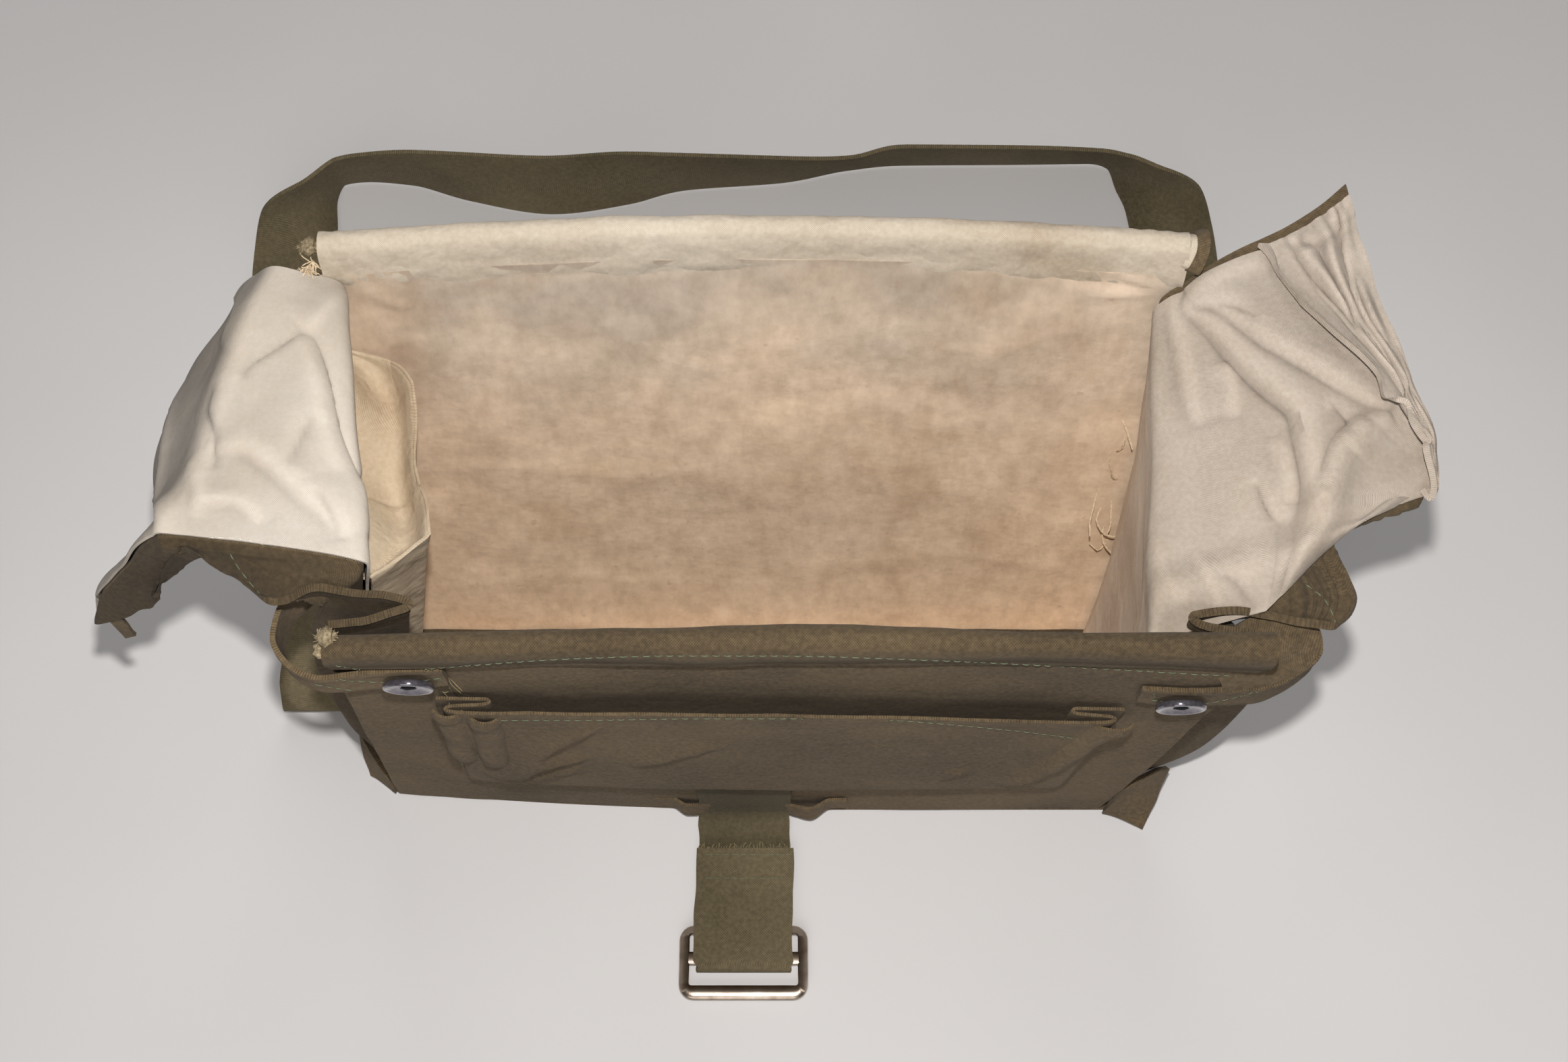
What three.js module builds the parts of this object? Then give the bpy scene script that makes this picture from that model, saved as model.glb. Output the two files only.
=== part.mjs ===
import * as THREE from "three";

// Open canvas first aid bag. Millimetres, +X to the right, +Y to the back, +Z up, base on z = 0.

// Cloth thicknesses and the clear space kept between two pieces
const CANVAS = 1.4;
const LINING = 1.0;
const GAP = 0.4;

// Base, front wall and back wall
const BASE = { width: 292, back: 39.4, thick: 1.5, corner: 9 };
const FRONT = { foot: -41.5, top: -60, height: 217, footLeft: -145, footRight: 142, topLeft: -130, topRight: 165 };
const BACK = { foot: 38.5, top: 73.5, height: 236, left: -143, right: 147, bow: 7.3 };
const ROPE = { front: 3.0, back: 2.8, sides: 8, behind: 2.5 };
const LID = { drop: 214, left: -141, right: 147 };

// Front pocket, keeper strip, closing strap and buckle
const POCKET = { left: -106, right: 126, low: 58, high: 168, arch: 7, tilt: -11, pleat: 17, depth: 7.6, thick: 1.0 };
const KEEPER = { left: -40, right: 38, low: 9, high: 22, bulge: 8.5 };
const STRAP = { centre: -3, width: 37, thick: 1.4, floor: 0.9, anchor: 42, foldY: -109.4, end: -60 };
const BUCKLE = { width: 51, front: -121, back: -91.5, bar: 4.6, low: 2.0, thick: 2.2, corner: 6 };
const SNAP_RADIUS = 8.4;
const SHOULDER = { width: 38, thick: 1.8 };

const COLOURS = {
  canvas: 0x615843,
  lining: 0xc6ad90,
  cotton: 0xe3dccf,
  rope: 0xa8926e,
  steel: 0xa39c92,
  snap: 0x23242a,
};

const at = (x, y, z) => new THREE.Vector3(x, y, z);
const mix = (a, b, t) => a + (b - a) * t;

// Slopes of a curve through evenly spaced values that never overshoots them
function slopesOf(values) {
  const last = values.length - 1;
  return values.map((value, i) => {
    if (i === 0) return values[1] - values[0];
    if (i === last) return values[last] - values[last - 1];
    const before = value - values[i - 1];
    const after = values[i + 1] - value;
    return before * after <= 0 ? 0 : (2 * before * after) / (before + after);
  });
}

function curveValue(values, slopes, t) {
  const i = Math.min(Math.floor(t), values.length - 2);
  const f = t - i;
  const rise = values[i + 1] - values[i];
  const bend = slopes[i] + slopes[i + 1] - 2 * rise;
  return values[i] + f * (slopes[i] + f * (3 * rise - 2 * slopes[i] - slopes[i + 1] + f * bend));
}

// Smooth curve through points, cut into the same number of steps between each two
function curveThrough(points, steps) {
  const columns = ["x", "y", "z"].map((axis) => points.map((point) => point[axis]));
  const slopes = columns.map(slopesOf);
  const count = (points.length - 1) * steps;
  return Array.from({ length: count + 1 }, (_, k) =>
    at(...columns.map((values, axis) => curveValue(values, slopes[axis], k / steps))));
}

// Grid of points through a list of sections that have the same number of points
function loft(sections, rowSteps, columnSteps) {
  const rows = sections.map((section) => curveThrough(section, columnSteps));
  const columns = rows[0].map((_, j) => curveThrough(rows.map((row) => row[j]), rowSteps));
  return columns[0].map((_, i) => columns.map((column) => column[i]));
}

function normalsOf(grid) {
  const pick = (i, j) => grid[Math.max(0, Math.min(grid.length - 1, i))][Math.max(0, Math.min(grid[0].length - 1, j))];
  return grid.map((row, i) => row.map((_, j) => {
    const alongRows = pick(i + 1, j).clone().sub(pick(i - 1, j)).normalize();
    const alongColumns = pick(i, j + 1).clone().sub(pick(i, j - 1)).normalize();
    return alongRows.cross(alongColumns).normalize();
  }));
}

function offsetGrid(grid, distance) {
  const normals = normalsOf(grid);
  return grid.map((row, i) => row.map((point, j) => point.clone().addScaledVector(normals[i][j], distance)));
}

// Closed solid from a list of corner points and faces, turned so that it faces out
function solid(points, faces) {
  let volume = 0;
  for (const [a, b, c] of faces) volume += points[a].dot(points[b].clone().cross(points[c]));
  const turned = volume < 0 ? faces.map(([a, b, c]) => [a, c, b]) : faces;
  const geometry = new THREE.BufferGeometry();
  geometry.setAttribute("position", new THREE.Float32BufferAttribute(points.flatMap((p) => [p.x, p.y, p.z]), 3));
  geometry.setIndex(turned.flat());
  geometry.computeVertexNormals();
  return geometry;
}

// Cloth of even thickness whose middle surface is the grid
function cloth(grid, thickness) {
  const rows = grid.length;
  const columns = grid[0].length;
  const over = offsetGrid(grid, thickness / 2).flat();
  const under = offsetGrid(grid, -thickness / 2).flat();
  const shift = rows * columns;
  const index = (i, j) => i * columns + j;
  const faces = [];
  const quad = (a, b, c, d) => faces.push([a, b, c], [a, c, d]);
  for (let i = 0; i + 1 < rows; i += 1) {
    for (let j = 0; j + 1 < columns; j += 1) {
      const ring = [index(i, j), index(i + 1, j), index(i + 1, j + 1), index(i, j + 1)];
      quad(...ring);
      quad(...ring.map((k) => k + shift).reverse());
    }
  }
  const rim = [];
  for (let i = 0; i + 1 < rows; i += 1) rim.push(index(i, 0));
  for (let j = 0; j + 1 < columns; j += 1) rim.push(index(rows - 1, j));
  for (let i = rows - 1; i > 0; i -= 1) rim.push(index(i, columns - 1));
  for (let j = columns - 1; j > 0; j -= 1) rim.push(index(0, j));
  rim.forEach((a, k) => {
    const b = rim[(k + 1) % rim.length];
    quad(b, a, a + shift, b + shift);
  });
  return solid([...over, ...under], faces);
}

// Round bar along a line of points
function bar(points, radius, sides) {
  const ring = new THREE.Shape(Array.from({ length: sides }, (_, k) => {
    const angle = (2 * Math.PI * k) / sides;
    return new THREE.Vector2(radius * Math.cos(angle), radius * Math.sin(angle));
  }));
  const path = new THREE.CatmullRomCurve3(points);
  return new THREE.ExtrudeGeometry(ring, { steps: points.length - 1, extrudePath: path });
}

function roundedOutline(left, right, low, high, radius) {
  const outline = new THREE.Shape();
  outline.moveTo(left + radius, low);
  outline.lineTo(right - radius, low);
  outline.absarc(right - radius, low + radius, radius, -Math.PI / 2, 0);
  outline.lineTo(right, high - radius);
  outline.absarc(right - radius, high - radius, radius, 0, Math.PI / 2);
  outline.lineTo(left + radius, high);
  outline.absarc(left + radius, high - radius, radius, Math.PI / 2, Math.PI);
  outline.lineTo(left, low + radius);
  outline.absarc(left + radius, low + radius, radius, Math.PI, 1.5 * Math.PI);
  return outline;
}

// Base plate: its front edge follows the foot of the front wall
function basePlate() {
  const half = BASE.width / 2;
  const outline = new THREE.Shape();
  outline.moveTo(half, frontFoot(half) + BASE.corner);
  outline.lineTo(half, BASE.back - BASE.corner);
  outline.absarc(half - BASE.corner, BASE.back - BASE.corner, BASE.corner, 0, Math.PI / 2);
  outline.absarc(BASE.corner - half, BASE.back - BASE.corner, BASE.corner, Math.PI / 2, Math.PI);
  outline.lineTo(-half, frontFoot(-half) + BASE.corner);
  for (let i = 0; i <= 12; i += 1) {
    const x = mix(BASE.corner - half, half - BASE.corner, i / 12);
    outline.lineTo(x, frontFoot(x) - 0.8);
  }
  return new THREE.ExtrudeGeometry(outline, { depth: BASE.thick, bevelEnabled: false, curveSegments: 5 });
}

function plate(left, right, low, high, radius, bottom, thickness) {
  const outline = roundedOutline(left, right, low, high, radius);
  const options = { depth: thickness, bevelEnabled: false, curveSegments: 5 };
  return new THREE.ExtrudeGeometry(outline, options).translate(0, 0, bottom);
}

// Front wall: its plane, its left and right ends, and the casing round the rope. Its left foot is drawn back
const frontFoot = (x) => FRONT.foot + 7.5 * (Math.max(0, 20 - x) / 166) ** 2;
const frontBow = (x) => 3 * Math.cos((Math.PI * (x - 15)) / 320) - 1;
const frontY = (x, z) => mix(frontFoot(x), FRONT.top + frontBow(x), z / FRONT.height);
const frontX = (share, z) => mix(
  mix(FRONT.footLeft, FRONT.topLeft, z / FRONT.height),
  mix(FRONT.footRight, FRONT.topRight, z / FRONT.height),
  share,
);

// Profile of the front wall: out is the distance in front of its plane
const FRONT_PROFILE = [
  { out: 0, z: 1.9 }, { out: 0.6, z: 50 }, { out: 0.8, z: 100 }, { out: 0.4, z: 150 }, { out: 0, z: 196 },
  { out: -0.6, z: 207 }, { out: -3.1, z: 212.2 }, { out: -4.3, z: 217 }, { out: -3.1, z: 221.4 }, { out: 0, z: 223 },
  { out: 3.1, z: 221.4 }, { out: 4.3, z: 217 }, { out: 3.7, z: 212.2 }, { out: 2.6, z: 207.6 }, { out: 2.1, z: 203.4 },
];

function frontPanel() {
  const shares = Array.from({ length: 13 }, (_, i) => i / 12);
  const grid = shares.map((share) => FRONT_PROFILE.map(({ out, z }) => {
    const x = frontX(share, z);
    return at(x, frontY(x, z) - out, z);
  }));
  return cloth(grid, CANVAS);
}

function frontRope() {
  const ends = { left: FRONT.topLeft - 3, right: FRONT.topRight - 2 };
  const points = Array.from({ length: 13 }, (_, i) => {
    const x = mix(ends.left, ends.right, i / 12);
    return at(x, frontY(x, FRONT.height), FRONT.height);
  });
  return bar(points, ROPE.front, ROPE.sides);
}

// Back wall leans back and its top edge bows out in the middle
const backShare = (x) => (2 * (x - BACK.left)) / (BACK.right - BACK.left) - 1;
const backBow = (x) => BACK.bow * (1 - backShare(x) ** 2);
const backY = (x, z) => mix(BACK.foot, BACK.top + backBow(x), z / BACK.height);

function backWall(offset, low, high, inset) {
  const xs = Array.from({ length: 11 }, (_, i) => mix(BACK.left + inset, BACK.right - inset, i / 10));
  const heights = [0, 0.25, 0.5, 0.75, 1].map((share) => mix(low, high, share));
  return xs.map((x) => heights.map((z) => at(x, backY(x, z) + offset, z)));
}

function backRope() {
  const points = Array.from({ length: 11 }, (_, i) => {
    const x = mix(LID.left - 1, LID.right - 2, i / 10);
    return at(x, backY(x, BACK.height) + ROPE.behind, BACK.height);
  });
  return bar(points, ROPE.back, ROPE.sides);
}

// Lid, folded back over the rope: y and z are measured from the rope's middle
const LID_PROFILE = [
  { y: -3.6, z: -7.8 }, { y: -3.8, z: -2 }, { y: -2.9, z: 2.5 }, { y: 0, z: 3.8 }, { y: 2.9, z: 2.5 },
  { y: 3.9, z: -2 }, { y: 4.4, z: -12 }, { y: 6.0, z: -60 }, { y: 7.4, z: -140 }, { y: 6.6, z: -LID.drop },
];

function lidLayer(profile, offset, inset) {
  const xs = Array.from({ length: 11 }, (_, i) => mix(LID.left + inset, LID.right - inset, i / 10));
  return xs.map((x) => profile.map(({ y, z }) =>
    at(x, backY(x, BACK.height) + ROPE.behind + y + offset, BACK.height + z)));
}

// Side walls with their flaps. One row per section from the back seam to the front seam: the foot on the base, the
// rim where the cloth folds out, the crest of the flap and its free edge
const LEFT_ROWS = [
  { foot: [-144, 35.4], bulge: 5, rim: [-137, 67.6, 222], crest: [-160, 69, 232], edge: [-172, 71, 214] },
  { foot: [-145, 24], bulge: 5, rim: [-133, 47, 226], crest: [-170, 46, 234], edge: [-186, 50, 192] },
  { foot: [-145, 6], bulge: 5, rim: [-128, 16, 226], crest: [-178, 14, 231], edge: [-201, 23, 171] },
  { foot: [-145, -10], bulge: 5, rim: [-123, -14, 224], crest: [-182, -10, 228], edge: [-206, -3, 157] },
  { foot: [-145, -18], bulge: 5, rim: [-120, -34, 223], crest: [-181, -26, 226], edge: [-227, -21, 150] },
  { foot: [-145, -19], bulge: 6, rim: [-120.4, -35.6, 222.6], crest: [-170, -30, 226], edge: [-200, -27, 177] },
  { foot: [-145, -20], bulge: 8, rim: [-121, -37, 222], crest: [-158, -32, 225], edge: [-177, -30, 225] },
  { foot: [-145, -22], bulge: 11, rim: [-125, -40, 219], crest: [-145, -39, 222], edge: [-160, -38, 222] },
  { foot: [-145, -24], bulge: 13, rim: [-133, -43, 214], crest: [-139, -44, 218], edge: [-146, -46, 219] },
  { foot: [-144, -26], bulge: 10, rim: [-131, -43, 211], crest: [-131, -43, 217], edge: [-131, -43, 222] },
  { foot: [-139, -28], bulge: 1, rim: [-106, -47, 211], crest: [-105, -47, 217], edge: [-104, -47, 222] },
  { foot: [-142, -30.2], bulge: 1, rim: [-120, -51.4, 211], crest: [-120, -51.8, 217], edge: [-119, -52, 222] },
  { foot: [-142, -32.2], bulge: 1, rim: [-131, -52.6, 211], crest: [-130, -53.0, 217], edge: [-129, -53.2, 222] },
];

const RIGHT_ROWS = [
  { foot: [144, 35.4], bulge: 5, rim: [141, 66.6, 216], crest: [168, 80, 229], edge: [201, 98, 240] },
  { foot: [145, 22], bulge: 5, rim: [139, 45, 210], crest: [172, 50, 224], edge: [207, 65, 234] },
  { foot: [145, 5], bulge: 5, rim: [134, 16, 205], crest: [172, 18, 220], edge: [215, 33, 229] },
  { foot: [145, -10], bulge: 6, rim: [129, -10, 203], crest: [172, -6, 219], edge: [222, 6, 224] },
  { foot: [145, -20], bulge: 7, rim: [126, -27, 203], crest: [170, -18, 218], edge: [218, -9, 220] },
  { foot: [145, -23], bulge: 10, rim: [127, -32, 203], crest: [165, -22, 217], edge: [196, -14, 218] },
  { foot: [145, -26], bulge: 18, rim: [130, -37, 203], crest: [162, -29, 215], edge: [189, -22, 216] },
  { foot: [145, -29], bulge: 29, rim: [140, -41, 203], crest: [168, -39, 211], edge: [194, -41, 215] },
  { foot: [145, -31], bulge: 34, rim: [150, -43, 202], crest: [170, -45, 208], edge: [188, -49, 211] },
  { foot: [144, -33], bulge: 24, rim: [156, -44, 202], crest: [160, -45, 207], edge: [165, -46, 212] },
  { foot: [139, -35], bulge: 1, rim: [142, -48, 203], crest: [142, -48.2, 209], edge: [142, -48.4, 214] },
  { foot: [142, -37.4], bulge: 1, rim: [152, -51.4, 203], crest: [152, -51.8, 209], edge: [152, -52.2, 214] },
  { foot: [142, -39.4], bulge: 1, rim: [162, -52.8, 203], crest: [163, -53.2, 209], edge: [163, -53.6, 214] },
];

const WALL_SHARES = [0.3, 0.6, 0.86];
const FOOT_Z = 1.9;

// Points of one side section: up the wall, over the rim, along the flap and down to its edge
function sideSection(row, outward) {
  const foot = at(...row.foot, FOOT_Z);
  const [rim, crest, edge] = [row.rim, row.crest, row.edge].map((point) => at(...point));
  const wall = WALL_SHARES.map((share) => {
    const point = foot.clone().lerp(rim, share);
    point.x += outward * row.bulge * Math.sin(Math.PI * share) ** 0.7;
    return point;
  });
  const spread = rim.distanceTo(crest);
  const rise = rim.clone().lerp(crest, 0.45);
  rise.z += 0.07 * spread;
  const fall = [0.35, 0.7].map((share) => {
    const point = crest.clone().lerp(edge, share);
    point.x += outward * 0.07 * crest.distanceTo(edge) * Math.sin(Math.PI * share);
    return point;
  });
  return [foot, ...wall, rim, rise, crest, ...fall, edge];
}

const sideGrid = (rows, outward) => loft(rows.map((row) => sideSection(row, outward)), 2, 2);
const LEFT_GRID = sideGrid(LEFT_ROWS, -1);
const RIGHT_GRID = sideGrid(RIGHT_ROWS, 1);

// Part of a side grid, moved to the inside by a distance
function insideGrid(grid, inward, distance, rows, columns) {
  const moved = offsetGrid(grid, inward * distance);
  return moved.slice(rows.from, rows.to + 1).map((row) => row.slice(columns.from, columns.to + 1));
}

const LINING_OFFSET = CANVAS / 2 + GAP + LINING / 2;
const SIDE_LINING_OFFSET = LINING_OFFSET + 0.6;
const FLAP_FRONT_ROW = 8;

// Grid row where a side lining ends, by column from the foot to the flap's edge
const LEFT_LINING_END = [{ column: 0, row: 8 }, { column: 18, row: 8 }];
const RIGHT_LINING_END = [
  { column: 0, row: 10 }, { column: 6, row: 10 }, { column: 9, row: 15 }, { column: 12, row: 15 }, { column: 18, row: 10 },
];

function lookUp(table, column) {
  const after = Math.max(1, table.findIndex((entry) => entry.column >= column));
  const [low, high] = [table[after - 1], table[after]];
  return mix(low.row, high.row, (column - low.column) / (high.column - low.column));
}

// Point on a line of points at a place between two of them
function pointAlong(line, place) {
  const i = Math.min(Math.floor(place), line.length - 2);
  return line[i].clone().lerp(line[i + 1], place - i);
}

function sideLining(grid, inward, ends) {
  const moved = offsetGrid(grid, inward * SIDE_LINING_OFFSET);
  const rowCount = Math.ceil(Math.max(...ends.map(({ row }) => row))) + 1;
  const columns = moved[0].map((_, j) => {
    const line = moved.map((row) => row[j]);
    const step = (lookUp(ends, j) - FLAP_FRONT_ROW) / Math.max(1, rowCount - 1 - FLAP_FRONT_ROW);
    const place = (i) => (i <= FLAP_FRONT_ROW ? i : FLAP_FRONT_ROW + (i - FLAP_FRONT_ROW) * step);
    return Array.from({ length: rowCount }, (_, i) => pointAlong(line, place(i)));
  });
  return cloth(columns[0].map((_, i) => columns.map((column) => column[i])), LINING);
}

// White pocket on the right flap, gathered along its mouth
function rightFlapPocket() {
  const lastColumn = RIGHT_GRID[0].length - 1;
  const columns = { from: lastColumn - 5, to: lastColumn };
  const close = SIDE_LINING_OFFSET + LINING + GAP;
  const base = insideGrid(RIGHT_GRID, 1, close, { from: 0, to: FLAP_FRONT_ROW }, columns);
  const normals = normalsOf(base);
  const puff = base.map((row, i) => row.map((point, j) => {
    const share = j / (row.length - 1);
    const lift = (1 - share) * (2 + 1.4 * Math.cos(1.5 * i)) + 5 * (1 - share) * share * (i / FLAP_FRONT_ROW);
    return point.clone().addScaledVector(normals[i][j], lift);
  }));
  return cloth(puff, LINING);
}

// Cream pocket on the left wall, its mouth standing away from the wall
function innerPocket() {
  const close = SIDE_LINING_OFFSET + LINING + GAP;
  const base = insideGrid(LEFT_GRID, -1, close, { from: 0, to: FLAP_FRONT_ROW - 1 }, { from: 1, to: 6 });
  const puff = base.map((row, i) => row.map((point, j) => {
    const along = i / (base.length - 1);
    const across = Math.sqrt(Math.min(1, 4 * along)) * Math.min(1, 6 * (1 - along));
    const up = j / (row.length - 1);
    return at(point.x + 20 * across * Math.sqrt(up), point.y - 1.5 * (1 - along), point.z);
  }));
  return cloth(puff, LINING);
}

// Front pocket: a section across it, x from its outer seam and out from the wall, with a pleat folded on each side
const PLEAT_SECTION = [
  { x: 0, out: 1.9 }, { x: 0.55, out: 2.1 }, { x: 1, out: 2.4 }, { x: 1.06, out: 3.3 }, { x: 0.96, out: 4.1 },
  { x: 0.3, out: 4.7 }, { x: 0.2, out: 5.6 }, { x: 0.3, out: 6.5 }, { x: 0.75, out: 7.2 }, { x: 1.3, out: 7.6 },
];

function frontPocket() {
  const left = PLEAT_SECTION.map(({ x, out }) => ({ x: POCKET.left + POCKET.pleat * x, out }));
  const right = PLEAT_SECTION.map(({ x, out }) => ({ x: POCKET.right - POCKET.pleat * x, out })).reverse();
  const middle = [0.2, 0.4, 0.6, 0.8].map((share) => ({
    x: mix(POCKET.left + 24, POCKET.right - 24, share),
    out: POCKET.depth + 1.5 * Math.sin(Math.PI * share),
  }));
  const heights = [0, 0.06, 0.3, 0.6, 0.86, 1];
  const grid = [...left, ...middle, ...right].map(({ x, out }) => heights.map((share) => {
    const along = (x - POCKET.left) / (POCKET.right - POCKET.left);
    const mouth = POCKET.high + POCKET.arch * Math.sin(Math.PI * along) + POCKET.tilt * along;
    const z = mix(POCKET.low, mouth, share);
    const shut = 1.9 + (out - 1.9) * Math.min(1, 0.55 + 0.45 * Math.sqrt(share));
    const lean = x + 14 * (z / FRONT.height) - 8;
    return at(lean, frontY(lean, z) - 0.8 - shut, z);
  }));
  return cloth(grid, POCKET.thick);
}

// Corner tabs: one row per step from the side wall round the corner to the snap
const LEFT_TAB_ROWS = [
  { x: -142.6, y: -34, low: 190, high: 205 }, { x: -149, y: -41, low: 189, high: 204.5 },
  { x: -150.5, y: -50, low: 188, high: 203 }, { x: -145, y: -58.6, low: 186, high: 200.5 },
  { x: -135, y: -62.4, low: 184.5, high: 199 }, { x: -122, y: -60.9, low: 183.5, high: 199.5 },
  { x: -108, y: -60.1, low: 183, high: 200 }, { x: -96, y: -60.0, low: 185, high: 200.5 },
];
const RIGHT_TAB_ROWS = [
  { x: 172, y: -41.5, low: 186, high: 200 }, { x: 184, y: -47.5, low: 187, high: 202 },
  { x: 185, y: -53, low: 184, high: 199 }, { x: 178, y: -58.5, low: 177, high: 193 },
  { x: 168, y: -61, low: 171, high: 187 }, { x: 156, y: -60.6, low: 168, high: 184 },
  { x: 144, y: -60.2, low: 166, high: 182 }, { x: 130, y: -59.8, low: 169, high: 183 },
];

function cornerTab(rows) {
  const sections = rows.map(({ x, y, low, high }) =>
    [0, 0.5, 1].map((share) => at(x, y + 1.3 * (1 - share), mix(low, high, share))));
  return cloth(loft(sections, 2, 1), 1.8);
}

// Dished snap, its back on the tab
function snap(x, y, z) {
  const profile = [
    [0, 0], [SNAP_RADIUS * 0.9, 0], [SNAP_RADIUS, 0.7], [SNAP_RADIUS * 0.97, 1.9], [SNAP_RADIUS * 0.82, 2.4],
    [SNAP_RADIUS * 0.7, 1.7], [SNAP_RADIUS * 0.5, 1.1], [0, 1.0],
  ].map(([radius, out]) => new THREE.Vector2(radius, out));
  const geometry = new THREE.LatheGeometry(profile, 16);
  return geometry.rotateX(Math.PI + 0.086).translate(x, y, z);
}

// Cloth folded out at a front corner of the base: its top, front, outer and back corner
const LEFT_EAR = [[-145.4, -36.4, 20], [-145.9, -35.4, 2.6], [-157, -28, 2.6], [-159.5, -16, 19]];
const RIGHT_EAR = [[146.9, -45, 36], [143.4, -43.6, 2.6], [159, -51, 2.6], [167, -33, 26]];

function cornerEar(points) {
  const [top, front, outer, back] = points.map((point) => at(...point));
  const grid = [0, 0.25, 0.5, 0.75, 1].map((u) => [0, 0.33, 0.67, 1].map((v) => {
    const near = top.clone().lerp(front, v);
    const far = back.clone().lerp(outer, v);
    const point = near.lerp(far, u);
    point.z += 5 * Math.sin(Math.PI * u) * (1 - 0.6 * v);
    return point;
  }));
  return cloth(grid, 2.2);
}

// Keeper strip, sewn at both ends and bowed out round the closing strap
function strapKeeper() {
  const bends = [
    { share: 0, out: 0 }, { share: 0.1, out: 0 }, { share: 0.2, out: 0.35 }, { share: 0.3, out: 0.8 },
    { share: 0.5, out: 1 }, { share: 0.7, out: 0.8 }, { share: 0.8, out: 0.35 }, { share: 0.9, out: 0 },
    { share: 1, out: 0 },
  ];
  const sections = bends.map(({ share, out }) => [0, 0.5, 1].map((up) => {
    const x = mix(KEEPER.left, KEEPER.right, share);
    const z = mix(KEEPER.low, KEEPER.high, up);
    const bow = KEEPER.bulge * out * (1 - 0.25 * up);
    return at(x, frontY(x, z) - 2.2 - bow, z);
  }));
  return cloth(loft(sections, 2, 1), 1.6);
}

// Closing strap: down the front wall, under the keeper, along the floor, round the buckle's middle bar and back
const STRAP_PATH = [
  { y: -46.9, z: STRAP.anchor }, { y: -45.6, z: 24 }, { y: -45.3, z: 10 }, { y: -49, z: 3.2 },
  { y: -57, z: STRAP.floor }, { y: -82, z: STRAP.floor }, { y: -105.4, z: STRAP.floor },
  { y: -108.4, z: 1.5 }, { y: STRAP.foldY, z: 3.1 }, { y: -108.4, z: 4.8 }, { y: -105.4, z: 5.4 },
  { y: -90, z: 5.4 }, { y: -76, z: 3.6 }, { y: STRAP.end, z: 2.9 },
];

function closingStrap() {
  const sections = STRAP_PATH.map(({ y, z }) => [-0.5, 0, 0.5].map((share) =>
    at(STRAP.centre + share * STRAP.width, y, z)));
  return cloth(loft(sections, 2, 1), STRAP.thick);
}

// Slide buckle: rounded frame with a slot on each side of its middle bar
function buckle() {
  const left = STRAP.centre - BUCKLE.width / 2;
  const right = STRAP.centre + BUCKLE.width / 2;
  const frame = roundedOutline(left, right, BUCKLE.front, BUCKLE.back, BUCKLE.corner);
  const slots = [
    { front: BUCKLE.front + BUCKLE.bar, back: -107.4 },
    { front: -101.8, back: BUCKLE.back - BUCKLE.bar },
  ];
  frame.holes = slots.map(({ front, back }) =>
    new THREE.Path(roundedOutline(left + 4, right - 4, front, back, 1.6).getPoints(3).reverse()));
  const options = { depth: BUCKLE.thick, bevelEnabled: false, curveSegments: 5 };
  return new THREE.ExtrudeGeometry(frame, options).translate(0, 0, BUCKLE.low);
}

// Shoulder strap: one row per step, its inner edge and the way its width points from there
const SHOULDER_ROWS = [
  { x: -143.4, y: 2, z: 160, way: [0, 1, 0] },
  { x: -146.4, y: 2, z: 128, way: [0, 1, 0] },
  { x: -151, y: 3, z: 95, way: [-0.2, 0.97, 0] },
  { x: -154, y: 4, z: 52, way: [-0.75, 0.66, 0] },
  { x: -157, y: 3, z: 18, way: [-1, 0.06, 0] },
  { x: -157, y: -1, z: 8, way: [-1, 0, 0] },
  { x: -157, y: 3, z: 2.2, way: [-1, 0, 0] },
  { x: -157, y: 12, z: 1.0, way: [-1, 0, 0] },
  { x: -165, y: 60, z: 1.0, way: [-1, 0.06, 0] },
  { x: -176, y: 120, z: 1.0, way: [-1, 0.1, 0] },
  { x: -189, y: 180, z: 1.0, way: [-1, 0.1, 0] },
  { x: -195.5, y: 216, z: 1.2, way: [-1, 0.02, 0.05] },
  { x: -197, y: 240, z: 1.4, way: [-0.75, -0.12, 0.65] },
  { x: -199, y: 256, z: 1.4, way: [-0.22, -0.35, 0.91] },
  { x: -196, y: 267, z: 1.4, way: [0.12, -0.3, 0.94] },
  { x: -183, y: 269, z: 1.4, way: [0.05, -0.3, 0.95] },
  { x: -163, y: 267, z: 1.4, way: [0, -0.22, 0.97] },
  { x: -135, y: 258, z: 1.4, way: [0, -0.03, 1] },
  { x: -96, y: 250.5, z: 1.4, way: [0, 0.12, 0.99] },
  { x: -61, y: 256, z: 1.4, way: [0, 0.03, 1] },
  { x: -35, y: 264, z: 1.4, way: [0, -0.19, 0.98] },
  { x: 13, y: 268.6, z: 1.4, way: [0, -0.33, 0.94] },
  { x: 43, y: 275.5, z: 1.4, way: [0, -0.46, 0.88] },
  { x: 69, y: 278.5, z: 1.4, way: [0, -0.4, 0.91] },
  { x: 125, y: 279, z: 1.4, way: [0, -0.42, 0.9] },
  { x: 158, y: 279.5, z: 1.4, way: [0, -0.46, 0.88] },
  { x: 168, y: 276, z: 1.4, way: [0.1, -0.45, 0.88] },
  { x: 171, y: 264, z: 1.3, way: [0.45, -0.3, 0.84] },
  { x: 174.4, y: 252, z: 1.2, way: [0.79, -0.07, 0.61] },
  { x: 175.6, y: 238, z: 1.0, way: [0.99, 0.03, 0.12] },
  { x: 177, y: 222, z: 1.0, way: [1, 0, 0] },
  { x: 174, y: 170, z: 1.0, way: [1, 0, 0] },
  { x: 167, y: 108, z: 1.0, way: [1, 0, 0] },
  { x: 162, y: 66, z: 6, way: [1, 0.1, 0.05] },
  { x: 156, y: 38, z: 34, way: [0.75, 0.66, 0] },
  { x: 152.5, y: 14, z: 78, way: [0.2, 0.97, 0] },
  { x: 151.2, y: 2, z: 118, way: [0, 1, 0] },
  { x: 148.6, y: 2, z: 152, way: [0, 1, 0] },
];

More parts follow.
